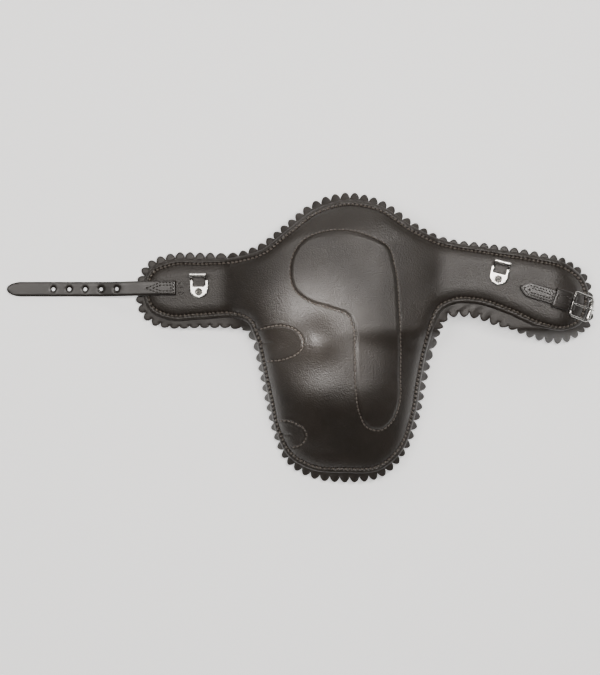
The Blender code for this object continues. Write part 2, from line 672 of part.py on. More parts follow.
def chape(finishes):
    """A pointed strap end folded round the heel bar, with a slot for the tongue."""
    half, point = STRAP_WIDTH / 2, CHAPE_POINT
    seat, top = SEAT_GAP, SEAT_GAP + CHAPE_THICKNESS
    meets = math.pi - math.asin((top - HEEL_LEVEL) / LOOP_OUTER)
    turn = np.linspace(meets, -math.pi / 2, 14)
    fold = [(CHAPE_LENGTH + LOOP_OUTER * math.cos(t), HEEL_LEVEL + LOOP_OUTER * math.sin(t)) for t in turn]
    outline = [(0, seat), (0, top)] + fold
    bore = ring((CHAPE_LENGTH, HEEL_LEVEL), 2 * LOOP_INNER, 16)

    def place_profile(u, level, side):
        width = half * np.clip(0.08 + 0.92 * (np.clip(u, 0, None) / point) ** 0.75, 0, 1)
        return on_chape(u, side * width, level)

    def cross_lines(low, high):
        points, edges = [], []
        for u in np.concatenate([[2, 4, 6.5, point], np.arange(point + 5, CHAPE_LENGTH - LOOP_OUTER, 5.0)]):
            edges.append((len(points), len(points) + 1))
            points += [(u, seat - 1), (u, top + 1)]
        return points, edges

    body = layer("chape", [outline, bore], (-1, 1), finishes["strap"], place=place_profile, net=cross_lines)
    slot, start = TONGUE / 2 + 1.0, CHAPE_LENGTH - LOOP_OUTER - 4
    end = CHAPE_LENGTH + LOOP_OUTER + 2
    notch = layer("tongue_slot", [[(start, -slot), (start, slot), (end, slot), (end, -slot)]], (-1, 12),
                  finishes["strap"], place=on_chape, net=lambda low, high: ([], []))
    boolean(body, notch, "DIFFERENCE")
    last, row = KEEPER_START - 2, CHAPE_ROW
    rows = np.array([(5, 0), (11, row), (last, row), (last, -row), (11, -row)])
    layer("chape_thread", band(rows, THREAD, step=7.0), (top + CLEARANCE, top + CLEARANCE + THREAD_RISE),
          finishes["thread"], place=on_chape, net=chape_net)


def keeper(finishes):
    half = STRAP_WIDTH / 2 + SEAT_GAP
    outer = half + KEEPER_WALL
    low, ceiling = SEAT_GAP, SEAT_GAP + CHAPE_THICKNESS + KEEPER_ROOM
    top = ceiling + KEEPER_WALL
    section = np.array([(-outer, low), (-outer, top - 1), (-outer + 1, top), (outer - 1, top), (outer, top - 1),
                        (outer, low), (half, low), (half, ceiling), (-half, ceiling), (-half, low)])
    stations = np.linspace(KEEPER_START, KEEPER_START + KEEPER_LENGTH, 5)

    def place_keeper(station, corners):
        return on_chape(np.full(len(corners), station), corners[:, 0], corners[:, 1])

    swept("keeper", section, stations, finishes["strap"], place_keeper)
    start, end = KEEPER_START + 2.5, KEEPER_START + KEEPER_LENGTH - 2.5
    rows = np.array([(start, 3.9), (end, 3.9), (end, -3.9), (start, -3.9)])
    layer("keeper_thread", band(rows, THREAD, step=6.0), (top + CLEARANCE, top + CLEARANCE + THREAD_RISE),
          finishes["thread"], place=on_chape, net=chape_net)


def buckle_frame_axes():
    """Frame at the heel bar: X forward over the buckle, Y along the bar, Z off the leather."""
    spots = [(CHAPE_LENGTH, 0, HEEL_LEVEL), (CHAPE_LENGTH, 5, HEEL_LEVEL), (CHAPE_LENGTH, 0, HEEL_LEVEL + 5)]
    heel, aside, above = (Vector(on_chape(*[np.array([float(value)]) for value in spot])[0]) for spot in spots)
    along = (aside - heel).normalized()
    up = (above - heel).normalized()
    forward = along.cross(up).normalized()
    frame = Matrix((forward, along, forward.cross(along))).transposed().to_4x4()
    frame.translation = heel
    return frame


def wire_loop(path, radius, sides=8):
    """Tube rings along a closed flat path of points, mitred at each point."""
    rings = []
    for k, point in enumerate(path):
        before = (Vector(point) - Vector(path[k - 1])).normalized()
        after = (Vector(path[(k + 1) % len(path)]) - Vector(point)).normalized()
        side = (before + after).normalized().cross(Vector((0, 0, 1)))
        side = side / max(0.5, side.dot(before.cross(Vector((0, 0, 1)))))
        spots = []
        for s in range(sides):
            turn = 2 * math.pi * (s + 0.5) / sides
            spots.append(Vector(point) + side * radius * math.cos(turn) + Vector((0, 0, radius * math.sin(turn))))
        rings.append(spots)
    return rings


def tube(name, rings, frame, finish, closed):
    sides = len(rings[0])
    points = [tuple(frame @ spot) for spots in rings for spot in spots]
    faces = []
    for row in range(len(rings) - (0 if closed else 1)):
        a, b = row * sides, ((row + 1) % len(rings)) * sides
        faces += [(a + k, b + k, b + (k + 1) % sides, a + (k + 1) % sides) for k in range(sides)]
    if not closed:
        faces += [tuple(range(sides)), tuple(range(len(points) - 1, len(points) - sides - 1, -1))]
    return add_object(name, points, faces, finish)


def buckle(finishes):
    frame = buckle_frame_axes() @ Matrix.Rotation(math.radians(BUCKLE_DROOP), 4, "Y")
    radius = BUCKLE_WIRE / 2
    half = BUCKLE_WIDTH / 2 - radius
    reach, corner = BUCKLE_REACH, BUCKLE_CORNER
    path = []
    for cx, cy, start in ((reach, half, 0), (0, half, 90), (0, -half, 180), (reach, -half, 270)):
        inward_x = cx - math.copysign(corner, cx - reach / 2)
        inward_y = cy - math.copysign(corner, cy)
        for step in range(3):
            turn = math.radians(start + 45 * step)
            path.append((inward_x + corner * math.cos(turn), inward_y + corner * math.sin(turn), 0))
    tube("buckle_frame", wire_loop(path, radius), frame, finishes["nickel"], closed=True)
    roller(frame, reach, half - corner - CLEARANCE, finishes["nickel"])
    tongue(frame, reach, finishes["nickel"])


def roller(frame, reach, half, finish):
    inner, outer = BUCKLE_WIRE / 2 + CLEARANCE, ROLLER / 2
    turn = np.arange(16) * 2 * math.pi / 16
    loops = [np.stack([radius * np.cos(turn), radius * np.sin(turn)], axis=1) for radius in (outer, inner)]

    def place(a, b, level):
        return np.array(moved(frame, np.stack([reach + a, np.full_like(a, level), b], axis=1)))

    layer("roller", loops, (-half, half), finish, place=place, net=lambda low, high: ([], []))


def tongue(frame, reach, finish):
    """A flat ring round the heel bar, and a blade that rests on the roller."""
    inner = BUCKLE_WIRE / 2 + CLEARANCE
    outer = inner + TONGUE_RING
    rest = ROLLER / 2 + CLEARANCE
    turn = np.linspace(math.radians(62), math.radians(338), 15)
    edge = [(outer * math.cos(t), outer * math.sin(t)) for t in turn]
    tip = reach + TONGUE_OVERHANG
    blade = [(outer + 1.5, -0.4), (reach - 5, rest - 0.8), (reach - 1, rest), (tip, rest - 0.4),
             (tip + 0.6, rest + 0.4), (tip - 0.4, rest + 1.1), (reach - 2, rest + 1.7), (outer + 1.5, 2.2)]
    outline = np.array(edge + blade)
    hole = ring((0, 0), 2 * inner, 14)

    def place(a, b, level):
        return np.array(moved(frame, np.stack([a, np.full_like(a, level), b], axis=1)))

    layer("tongue", [outline, hole], (-TONGUE / 2, TONGUE / 2), finish, place=place,
          net=lambda low, high: ([], []))


def main():
    for old in list(bpy.data.objects):
        bpy.data.objects.remove(old)
    finishes = {
        "leather": material("black_leather", (0.022, 0.019, 0.017), 0.42),
        "strap": material("strap_leather", (0.016, 0.014, 0.013), 0.3),
        "lining": material("pinked_lining", (0.03, 0.027, 0.025), 0.6),
        "foam": material("foam", (0.05, 0.05, 0.05), 0.9),
        "board": material("fibre_board", (0.12, 0.09, 0.06), 0.8),
        "thread": material("thread", (0.03, 0.027, 0.024), 0.5),
        "nickel": material("nickel", (0.75, 0.73, 0.70), 0.18, 1.0),
    }
    soft_layers(finishes)
    strap(finishes)
    for side, place in (("left", LEFT_HANGER), ("right", RIGHT_HANGER)):
        hanger(f"hanger_{side}", place, finishes["nickel"])
        rivet(side, place, finishes)
    chape(finishes)
    keeper(finishes)
    buckle(finishes)


main()
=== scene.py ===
"""Looks of the strap-on leather guard pad: moulded skin, pinked lining, stitches, straps and nickel hardware.

Lengths are in millimetres in the functions below, and meshes are built in metres, in the frame of the
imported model.
"""

import math

import bmesh
import bpy
import numpy as np
from mathutils import Matrix, Vector, kdtree
from mathutils.geometry import delaunay_2d_cdt


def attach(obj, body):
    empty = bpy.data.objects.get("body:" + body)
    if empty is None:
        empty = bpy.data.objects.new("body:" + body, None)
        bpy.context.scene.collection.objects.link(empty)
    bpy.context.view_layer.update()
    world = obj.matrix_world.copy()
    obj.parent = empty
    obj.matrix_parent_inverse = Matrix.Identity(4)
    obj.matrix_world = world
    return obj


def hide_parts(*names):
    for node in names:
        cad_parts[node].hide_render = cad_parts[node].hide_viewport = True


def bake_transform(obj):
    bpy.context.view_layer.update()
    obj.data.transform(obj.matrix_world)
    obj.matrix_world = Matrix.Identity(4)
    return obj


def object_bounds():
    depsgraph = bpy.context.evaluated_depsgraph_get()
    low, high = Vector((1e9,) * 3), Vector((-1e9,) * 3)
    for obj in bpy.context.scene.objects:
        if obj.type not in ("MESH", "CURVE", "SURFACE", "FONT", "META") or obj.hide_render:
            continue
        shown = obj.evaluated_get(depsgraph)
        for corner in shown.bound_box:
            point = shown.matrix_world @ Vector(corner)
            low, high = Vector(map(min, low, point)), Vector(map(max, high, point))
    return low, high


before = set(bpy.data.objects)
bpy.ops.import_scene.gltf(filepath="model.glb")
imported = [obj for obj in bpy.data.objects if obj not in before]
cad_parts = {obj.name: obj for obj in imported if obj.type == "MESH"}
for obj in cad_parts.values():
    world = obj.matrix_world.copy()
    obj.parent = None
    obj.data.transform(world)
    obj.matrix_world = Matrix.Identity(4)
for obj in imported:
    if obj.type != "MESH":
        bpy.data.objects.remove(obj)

CAD_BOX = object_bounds()
MM = 0.001

# ---- sizes shared with the frame ----
CLEARANCE = 0.3
SHELL = 2.2
RIM = 6.0                 # skin edge outside the stitch line
TOOTH_PITCH = 10.9
TOOTH_DEPTH = 6.0
LINING_OUT = -9.3         # back of the lining, under the outer face
INSERT_INSET = 2.0

CROWN_HEIGHT = 62.0
CROWN_X = 46.0
SLOPE_BELOW = 0.58
FALL_START_BELOW = -48.0
SLOPE_ABOVE = 0.85
FALL_START_ABOVE = 98.0
FALL_LENGTH = 42.0
HALF_LEFT = 130.0
HALF_RIGHT = 105.0
HALF_BELOW = 101.0
TAPER = 0.21
STEEP = 0.135
JOIN_LEFT = 24.0          # blend between the arch and each arm
JOIN_RIGHT = 58.0
ARM_RISE = 50.0           # height over which the arch widens into the arms
ARM_MIX = 45.0            # half width of the stretch where one arm's line passes into the other's
ARM_DROP = 40.0           # how far the arms' surface lies below the body's under the arms
ARM_FLOOR = -30.0
ARM_EDGE = 44.0
CUP = ((17, -3), (25, 23), 9.0)             # moulded swellings: place, size, height
CUP_HOLLOW = ((-20, -6), (18, 14), 3.0)
HIP = ((13, -106), (16, 15), 3.0)

LEFT_END = -176.0
LEFT_HEIGHT = 9.6
LEFT_SLOPE = 0.14
RIGHT_BEND = 268.0
RIGHT_HEIGHT = 36.6
RIGHT_SLOPE = 0.05
CURL_RADIUS = 60.0
CURL_LIMIT = 0.6

STRAP_WIDTH = 15.9
STRAP_THICKNESS = 3.0
STRAP_Y = 52.6
STRAP_TIP = -316.1
STRAP_SEWN_END = -133.5
STRAP_JOINT = -179.0
STRAP_FALL = 52.0
STRAP_POINT = 15.5        # length of the rounded tip
STRAP_SHIFT = 1.2         # how far the sewn end lies off the strap's line
TACK_LENGTH = 32.0        # arrow of stitches that holds the sewn end
TACK_POINT = 15.0
TACK_PITCH = 3.6
HOLE = 4.0
HOLE_PITCH = 17.2
HOLES = 5
FIRST_HOLE = -265.8

HANGER_WIDTH = 20.6
HANGER_PLATE = 1.2
HANGER_SLOT = 12.5
HANGER_LIFT = 8.0
HANGER_BAR = 3.0
HANGER_BAR_LENGTH = 18.5
HANGER_KNEE = 13.2
HANGER_ANGLE = 68.0
HANGER_FOOT = 3.2         # centre of the rounded foot, from the rivet
HANGER_SILL = 6.2         # lower edge of the slot, from the rivet
HANGER_CORNER = 2.2       # length of each bend
HANGER_SEAT = 0.15        # under the plate
RIVET_HEAD = 8.2
BURR = 9.0
LEFT_HANGER = (-108.4, 49.6, 0.0)
RIGHT_HANGER = (212.2, 63.1, -14.0)

CHAPE_YAW = -17.0
CHAPE_TIP = (235.2, 54.6)
CHAPE_LENGTH = 59.0
CHAPE_THICKNESS = 3.4
CHAPE_POINT = 10.0        # length of its pointed tip
CHAPE_WRAP = 1.6          # leather round the heel bar
CHAPE_PITCH = 3.4
KEEPER_START = 38.0
KEEPER_LENGTH = 16.5
KEEPER_WALL = 1.6
KEEPER_ROOM = 3.8
SEAT_GAP = 0.5
BUCKLE_WIDTH = 28.4
BUCKLE_REACH = 23.6
BUCKLE_WIRE = 2.4
BUCKLE_DROOP = 4.0
BUCKLE_CORNER = 2.6
ROLLER = 5.0
TONGUE = 2.2
TONGUE_OVERHANG = 3.4
TONGUE_RING = 1.2         # wall of the tongue's ring

# stitch line: x, y, and how far the pinked lining reaches outside it
STITCH = [
    (-164, 52, 14), (-158, 70, 13.5), (-140, 78, 13), (-105, 79.2, 13), (-72, 81, 11.4), (-40, 89.5, 13.2),
    (-10, 113, 14), (20, 135.5, 14.6), (50, 143.2, 13.6), (84, 137.2, 12.4), (118, 115.5,
                                                                              11.4), (150, 100.2, 9.4),
    (205, 90, 11), (254, 82, 10.6), (286, 74, 11), (303, 61, 12.4), (308.6, 42, 12), (303, 21.5, 17.4),
    (284, 11.6, 23), (260, 15.6, 24.6), (225, 30.9, 23), (190, 41.8, 21.4), (166, 42, 20), (149, 33.5, 17),
    (140.6, 16, 15.4), (134, -14, 15), (127.6, -48, 14), (121, -86, 12.6), (107, -120,
                                                                            12), (84.5, -138.5, 14),
    (50, -141.4, 16.8), (12, -138, 15.2), (-11, -124, 13.4), (-23, -102,
                                                              11.5), (-31, -68, 12), (-39.5, -28, 12),
    (-46.5, 3, 13.4), (-53.5, 18.6, 18.4), (-70, 25.8, 19.6), (-108, 25.4,
                                                               17.4), (-143, 25.3, 17), (-158, 33, 16.6),
]
PANEL = [
    (-10.5, 70.8), (-7.5, 88), (3.5, 104), (22, 112.6), (52, 114.6), (78,
                                                                      107), (94, 97.5), (101.8, 74), (106, 30),
    (107.4, -35), (105, -76), (99, -89), (86, -98.8), (72, -95.5), (63.5,
                                                                    -80), (59.5, -55), (58.5, -15), (57, 10),
    (51, 24), (36, 30.5), (9, 39.3), (-3, 48), (-9.3, 60),
]
UPPER_DART = [(-43.5, 9), (-30, 12.4), (-18, 13.2), (-5, 9), (2.6, 0), (3.6, -8), (-1, -15.5), (-12, -21.4),
              (-36.5, -25.6)]
LOWER_DART = [(-22.5, -89.3), (-14, -88.8), (-3, -92.4), (5.4, -98.6), (7, -106), (2, -114), (-8.5, -118)]
UPPER_SLIT = ((-52, -8), (-29.3, -5.2))
LOWER_SLIT = ((-32, -104.5), (-10.4, -103.7))

# ---- sizes of the looks ----
SEAM_X = 84.0             # the skin and lining are split here, inside the part that never bends
LEFT_BLEND = (-46.0, -88.0)
RIGHT_BLEND = (128.0, 172.0)
PINCH = 2.7               # how deep the stitch row pulls the skin down
RIM_SWELL = 1.35          # how far the skin's rim stands up, and how fast it sags outwards
RIM_SAG = 0.28
GROOVE = 0.9              # stitch groove, and how much deeper it is at the needle holes
NEEDLE_HOLE = 1.2
PANEL_STEP = 1.3
PANEL_SLOPE = 5.0
PILLOW = 12.0             # width over which the skin rises inside the stitch row
EDGE_PITCH = 4.5
FINE_PITCH = 4.2
THREAD = 1.9
LOBE = 0.64               # roundness of the teeth: a smaller power gives fuller lobes with sharper notches


# ---- form, as in the frame ----
def ease(t):
    t = np.clip(t, 0.0, 1.0)
    return t * t * (3 - 2 * t)


def gentle(t):
    """As ease, but with no sudden change of curvature at its ends."""
    t = np.clip(t, 0.0, 1.0)
    return t**3 * (10 - 15 * t + 6 * t * t)


def fall(distance, slope):
    run = np.clip(distance, 0, None)
    near = slope * run * run / (2 * FALL_LENGTH)
    far = slope * (run - FALL_LENGTH / 2)
    return np.where(run < FALL_LENGTH, near, far)


def arch(across):
    share = 1 - across * across
    edge = math.sqrt(STEEP)
    return np.where(share > STEEP, np.sqrt(np.clip(share, STEEP, None)), edge + (share - STEEP) / (2 * edge))


def mound(x, y, place, size, height):
    return height * np.exp(-(((x - place[0]) / size[0]) ** 2) - ((y - place[1]) / size[1]) ** 2)


def smooth_max(a, b, join):
    overlap = np.clip(join - np.abs(a - b), 0, None) / join
    return np.maximum(a, b) + overlap**3 * join / 6


def right_arm_height(x):
    start = math.sin(math.atan(RIGHT_SLOPE))
    turn = np.clip(start + (x - RIGHT_BEND) / CURL_RADIUS, start, CURL_LIMIT)
    curl_end = RIGHT_BEND + CURL_RADIUS * (CURL_LIMIT - start)
    slope = CURL_LIMIT / math.sqrt(1 - CURL_LIMIT * CURL_LIMIT)
    curled = RIGHT_HEIGHT - CURL_RADIUS * (math.cos(math.asin(start)) - np.sqrt(1 - turn * turn))
    curled = curled - slope * np.clip(x - curl_end, 0, None)
    level = RIGHT_HEIGHT - RIGHT_SLOPE * (x - RIGHT_BEND)
    return np.where(x > RIGHT_BEND, curled, level)


def height(x, y):
    """Outer face of the shell."""
    x, y = np.asarray(x, float), np.asarray(y, float)
    up = ease((y + ARM_RISE / 2) / (1.5 * ARM_RISE))
    below = HALF_BELOW - fall(FALL_LENGTH / 2 - y, TAPER)
    half = below + (np.where(x < CROWN_X, HALF_LEFT, HALF_RIGHT) - below) * up
    crown = CROWN_HEIGHT - fall(FALL_START_BELOW - y, SLOPE_BELOW) - fall(y - FALL_START_ABOVE, SLOPE_ABOVE)
    body = crown * arch((x - CROWN_X) / half)
    body = body + mound(x, y, *CUP) - mound(x, y, *CUP_HOLLOW) + mound(x, y, *HIP)
    right = ease((x - CROWN_X + ARM_MIX) / (2 * ARM_MIX))
    arm = (LEFT_HEIGHT + LEFT_SLOPE * (x - LEFT_END)) * (1 - right) + right_arm_height(x) * right
    arm = arm - ARM_DROP * (1 - gentle((y - ARM_FLOOR) / ARM_EDGE))
    return smooth_max(body, arm, JOIN_LEFT + (JOIN_RIGHT - JOIN_LEFT) * right)


def normal(x, y):
    step = 0.5
    slope_x = (height(x + step, y) - height(x - step, y)) / (2 * step)
    slope_y = (height(x, y + step) - height(x, y - step)) / (2 * step)
    vector = np.stack([-slope_x, -slope_y, np.ones_like(slope_x)], axis=-1)
    return vector / np.linalg.norm(vector, axis=-1, keepdims=True)


def on_pad(x, y, level):
    """Points at a level off the outer face."""
    return np.stack([x, y, height(x, y)], axis=-1) + np.asarray(level)[..., None] * normal(x, y)


# ---- curves ----
def smooth_curve(knots, closed, step=0.5):
    knots = np.asarray(knots, float)
    count = len(knots)
    chord = np.linalg.norm(np.roll(knots, -1, axis=0)[:, :2] - knots[:, :2], axis=1)
    if not closed:
        chord = chord[:-1]

    def slope(k):
        before, after = (k - 1) % count, (k + 1) % count
        if not closed and k == 0:
            return (knots[1] - knots[0]) / chord[0]
        if not closed and k == count - 1:
            return (knots[-1] - knots[-2]) / chord[-1]
        back, ahead = (knots[k] - knots[before]) / chord[before], (knots[after] - knots[k]) / chord[k]
        return (back * chord[k] + ahead * chord[before]) / (chord[k] + chord[before])

    pieces = []
    for k in range(len(chord)):
        a, b = knots[k], knots[(k + 1) % count]
        pull_a, pull_b = slope(k) * chord[k], slope((k + 1) % count) * chord[k]
        t = np.linspace(0, 1, max(2, round(chord[k] / step)), endpoint=False)[:, None]
        pieces.append(a * (2 * t**3 - 3 * t**2 + 1) + b * (3 * t**2 - 2 * t**3)
                      + pull_a * (t**3 - 2 * t**2 + t) + pull_b * (t**3 - t**2))
    if not closed:
        pieces.append(knots[-1:])
    return np.concatenate(pieces)


def lengths_along(curve, closed=True):
    if closed:
        curve = np.concatenate([curve, curve[:1]])
    return np.concatenate([[0], np.cumsum(np.linalg.norm(np.diff(curve[:, :2], axis=0), axis=1))])


def resample(curve, spots, closed=True):
    along = lengths_along(curve, closed)
    if closed:
        curve = np.concatenate([curve, curve[:1]])
    return np.stack([np.interp(spots, along, column) for column in curve.T], axis=1)


def thinned(curve, step, closed=True):
    total = lengths_along(curve, closed)[-1]
    count = max(3, round(total / step))
    return resample(curve, np.linspace(0, total, count, endpoint=not closed), closed)


def outward(curve, closed=True):
    """Unit vectors to the left-hand side of the run, which is outside for a clockwise loop."""
    if closed:
        run = np.roll(curve, -1, axis=0) - np.roll(curve, 1, axis=0)
    else:
        run = np.gradient(curve, axis=0)
    run = run[:, :2] / np.linalg.norm(run[:, :2], axis=1, keepdims=True)
    return np.stack([-run[:, 1], run[:, 0]], axis=1)


def offset(curve, distance, closed=True):
    distance = np.broadcast_to(distance, (len(curve),))
    return curve[:, :2] + outward(curve, closed) * distance[:, None]


def ring(centre, diameter, sides=32):
    turn = np.arange(sides) * 2 * math.pi / sides
    return np.stack([centre[0] + diameter / 2 * np.cos(turn), centre[1] + diameter / 2 * np.sin(turn)],
                    axis=1)


def nearest(samples):
    """A function that gives each point's distance to the samples, and the nearest sample's number."""
    tree = kdtree.KDTree(len(samples))
    for number, (x, y) in enumerate(samples[:, :2]):
        tree.insert((x, y, 0), number)
    tree.balance()

    def measure(points):
        found = [tree.find((x, y, 0)) for x, y in points]
        return np.array([item[2] for item in found]), np.array([item[1] for item in found], int)

    return measure


def inside(points, loops):
    within = np.zeros(len(points), bool)
    for loop in loops:
        ends = np.roll(loop, -1, axis=0)
        for (ax, ay), (bx, by) in zip(loop, ends):
            crosses = (ay > points[:, 1]) != (by > points[:, 1])
            reach = ax + (points[:, 1] - ay) / (by - ay if by != ay else 1e-9) * (bx - ax)
            within ^= crosses & (points[:, 0] < reach)
    return within


# ---- meshes ----
def hex_grid(low, high, spacing):
    rows = np.arange(low[1], high[1], spacing * math.sqrt(0.75))
    columns = np.arange(low[0], high[0], spacing)
    grid = [np.stack([columns + (k % 2) * spacing / 2, np.full(len(columns), y)], axis=1) for k,
            y in enumerate(rows)]
    return np.concatenate(grid)


def flat_mesh(loops, spacing, rings=(), lines=(), fine=None):
    """Triangles over the flat area inside closed loops, with each point's distance to the nearest loop.

    rings are distances inside the loops where extra points lie, lines are curves that points follow, and
    fine is a closer spacing with the width of the strip along the loops where it holds.
    """
    samples = np.concatenate([thinned(loop, 0.3) for loop in loops])
    measure = nearest(samples)
    reach = max(rings, default=0.0)
    low, high = loops[0].min(axis=0), loops[0].max(axis=0)
    grids = [(spacing, fine[1] if fine else 0.0, math.inf)]
    if fine:
        grids.append((fine[0], 0.0, fine[1]))
    points = [np.asarray(loop) for loop in loops]
    free = []
    for distance in rings:
        for loop in loops:
            side = offset(loop, -distance)
            gap, _ = measure(side)
            free.append(side[gap > 0.9 * distance])
    free += list(lines)
    for step, near, far in grids:
        grid = hex_grid(low, high, step)
        gap, _ = measure(grid)
        free.append(grid[(gap > max(near, reach + 0.5 * step)) & (gap <= far)])
    placed = []
    for group in free:
        group = group[inside(group, loops)] if len(group) else group
        gap, _ = measure(group) if len(group) else (np.zeros(0), None)
        group = group[gap > 0.35]
        if placed and len(group):
            clear, _ = nearest(np.concatenate(placed))(group)
            group = group[clear > 0.42]
        if len(group):
            placed.append(group)
    edges, count = [], 0
    for loop in loops:
        edges += [(count + k, count + (k + 1) % len(loop)) for k in range(len(loop))]
        count += len(loop)
    flat = [Vector((float(x), float(y))) for x, y in np.concatenate(points + placed)]
    found, _, faces, _, _, _ = delaunay_2d_cdt(flat, edges, [], 0, 1e-5)
    spots = np.array([(point.x, point.y) for point in found])
    faces = np.array([face for face in faces if len(face) == 3])
    gap, _ = measure(spots)
    border = gap < 0.16
    doubtful = border[faces].all(axis=1)
    good = np.ones(len(faces), bool)
    good[doubtful] = inside(spots[faces[doubtful]].mean(axis=1), loops)
    faces = faces[good]
    used = np.unique(faces)
    index = np.full(len(spots), -1)
    index[used] = np.arange(len(used))
    return spots[used], index[faces], np.where(border[used], 0.0, gap[used])


def tube_quads(rings, count, first=0, inward=False, looped=False):
    """Quads between successive rings of count points; a looped tube joins its last ring to its first."""
    k = np.arange(count)
    after = (k + 1) % count
    quads = []
    for row in range(rings if looped else rings - 1):
        a, b = first + row * count, first + (row + 1) % rings * count
        corners = [a + k, a + after, b + after, b + k]
        quads.append(np.stack(corners[::-1] if inward else corners, axis=1))
    return np.concatenate(quads)


def vertex_normals(points, faces):
    total = np.zeros_like(points)
    for group in faces:
        a, b, c = points[group[:, 0]], points[group[:, 1]], points[group[:, 2]]
        flat = np.cross(b - a, c - a)
        for k in range(group.shape[1]):
            np.add.at(total, group[:, k], flat)
    return total / np.maximum(np.linalg.norm(total, axis=1, keepdims=True), 1e-12)


def make(name, points, groups, finish, normals=None):
    """An object from points in millimetres and arrays of triangles and quads."""
    mesh = bpy.data.meshes.new(name)
    faces = [tuple(int(k) for k in face) for group in groups for face in group]
    mesh.from_pydata([tuple(point) for point in np.asarray(points) * MM], [], faces)
    mesh.shade_smooth()
    if normals is not None:
        mesh.normals_split_custom_set_from_vertices([tuple(vector) for vector in normals])
    mesh.materials.append(finish)
    made = bpy.data.objects.new(name, mesh)
    bpy.context.scene.collection.objects.link(made)
    return made


def slab(flat, top, bottom, place):
    """Points and faces of a closed sheet; top and bottom give levels from points and edge distance."""
    spots, faces, gap = flat
    count = len(spots)
    upper = place(spots[:, 0], spots[:, 1], top(spots, gap))
    lower = place(spots[:, 0], spots[:, 1], bottom(spots, gap))
    sides = {(int(a), int(b)) for face in faces for a,
             b in ((face[0], face[1]), (face[1], face[2]), (face[2], face[0]))}
    border = np.array([(a, b) for a, b in sorted(sides) if (b, a) not in sides])
    walls = np.stack([border[:, 1], border[:, 0], border[:, 0] + count, border[:, 1] + count], axis=1)
    return np.concatenate([upper, lower]), faces, walls


def whole(name, flat, top, bottom, place, finish):
    points, faces, walls = slab(flat, top, bottom, place)
    count = len(flat[0])
    return make(name, points, [faces, faces[:, ::-1] + count, walls], finish)


def halves(names, flat, top, bottom, place, finish):
    """The sheet as two pieces that meet inside the part that never bends, with the normals of the whole."""
    spots, faces, gap = flat
    points, _, walls = slab(flat, top, bottom, place)
    count = len(spots)
    normals = vertex_normals(points, [faces, faces[:, ::-1] + count, walls[:, :3], walls[:, [0, 2, 3]]])
    middle = spots[faces].mean(axis=1)[:, 0]
    made = []
    for name, side in zip(names, (middle < SEAM_X, middle >= SEAM_X)):
        kept = faces[side]
        used = np.unique(kept)
        index = np.full(count, -1)
        index[used] = np.arange(len(used))
        part = (spots[used], index[kept], gap[used])
        shape, part_faces, part_walls = slab(part, top, bottom, place)
        tall = len(used)
        bent = np.concatenate([normals[used], normals[used + count]])
        made.append(make(name, shape, [part_faces, part_faces[:, ::-1] + tall, part_walls], finish, bent))
    return made


def rounded(gap, radius, share=1.0):
    """How far a face drops near its edge."""
    near = np.clip(gap / radius, 0, 1)
    return share * radius * (1 - np.sqrt(1 - (1 - near) ** 2))


# ---- the skin's relief ----
STITCH_CURVE = smooth_curve(STITCH, True)
PANEL_CURVE = smooth_curve(PANEL, True)
DART_CURVES = [smooth_curve(UPPER_DART, False), smooth_curve(LOWER_DART, False)]
TO_STITCH = nearest(STITCH_CURVE)
TO_PANEL = nearest(PANEL_CURVE)
TO_DARTS = [nearest(curve) for curve in DART_CURVES]
STITCH_ALONG = lengths_along(STITCH_CURVE)
STITCH_OUT = outward(STITCH_CURVE)
PANEL_OUT = outward(PANEL_CURVE)
EDGE_STITCHES = round(STITCH_ALONG[-1] / EDGE_PITCH)
EDGE_STEP = STITCH_ALONG[-1] / EDGE_STITCHES


def signed(points, curve, measure, out):
    """Distance to a closed curve, positive inside, with the nearest sample's number."""
    gap, number = measure(points)
    side = np.einsum("ij,ij->i", points - curve[number][:, :2], out[number])
    return np.where(side > 0, -gap, gap), number


def slit(points, ends, depth, width):
    """A pressed-in fold line that dies out at its inner end."""
    a, b = np.array(ends[0], float), np.array(ends[1], float)
    run = b - a
    share = np.clip((points - a) @ run / (run @ run), 0, 1)
    gap = np.linalg.norm(points - (a + share[:, None] * run), axis=1)
    return -depth * np.exp(-(gap / width) ** 2) * (1 - 0.6 * share)


def skin_level(points):
    within, number = signed(points, STITCH_CURVE, TO_STITCH, STITCH_OUT)
    beat = np.cos(2 * math.pi * STITCH_ALONG[number] / EDGE_STEP)
    pillow = PINCH * (1 - np.clip(within / PILLOW, 0, 1)) ** 2
    out = np.clip(-within, 0, RIM)
    rim = RIM_SWELL * np.sin(math.pi * out / (RIM * 1.25)) ** 0.75 - RIM_SAG * out
    groove = (GROOVE + NEEDLE_HOLE * beat) * np.exp(-(within / 1.3) ** 2)
    level = -pillow + rim - groove
    inner, _ = signed(points, PANEL_CURVE, TO_PANEL, PANEL_OUT)
    level += PANEL_STEP * ease(inner / PANEL_SLOPE) + 0.2 * np.exp(-((inner - 3.2) / 1.8) ** 2)
    level -= 0.3 * np.exp(-(inner / 0.8) ** 2)
    for measure in TO_DARTS:
        gap, _ = measure(points)
        level += 0.35 * np.exp(-((gap - 2.2) / 1.4) ** 2) - 0.7 * np.exp(-(gap / 0.9) ** 2)
    level += slit(points, UPPER_SLIT, 2.6, 0.95) + slit(points, LOWER_SLIT, 2.6, 0.95)
    x, y = points[:, 0], points[:, 1]
    level += 0.16 * np.sin(x / 9 + 1.7 * np.sin(y / 21)) * np.sin(y / 11 + 0.9 * np.sin(x / 17))
    return level


def skin_top(points, gap):
    return skin_level(points) - rounded(gap, 3.6, 0.55)


def skin_bottom(points, gap):
    return skin_level(points) - SHELL


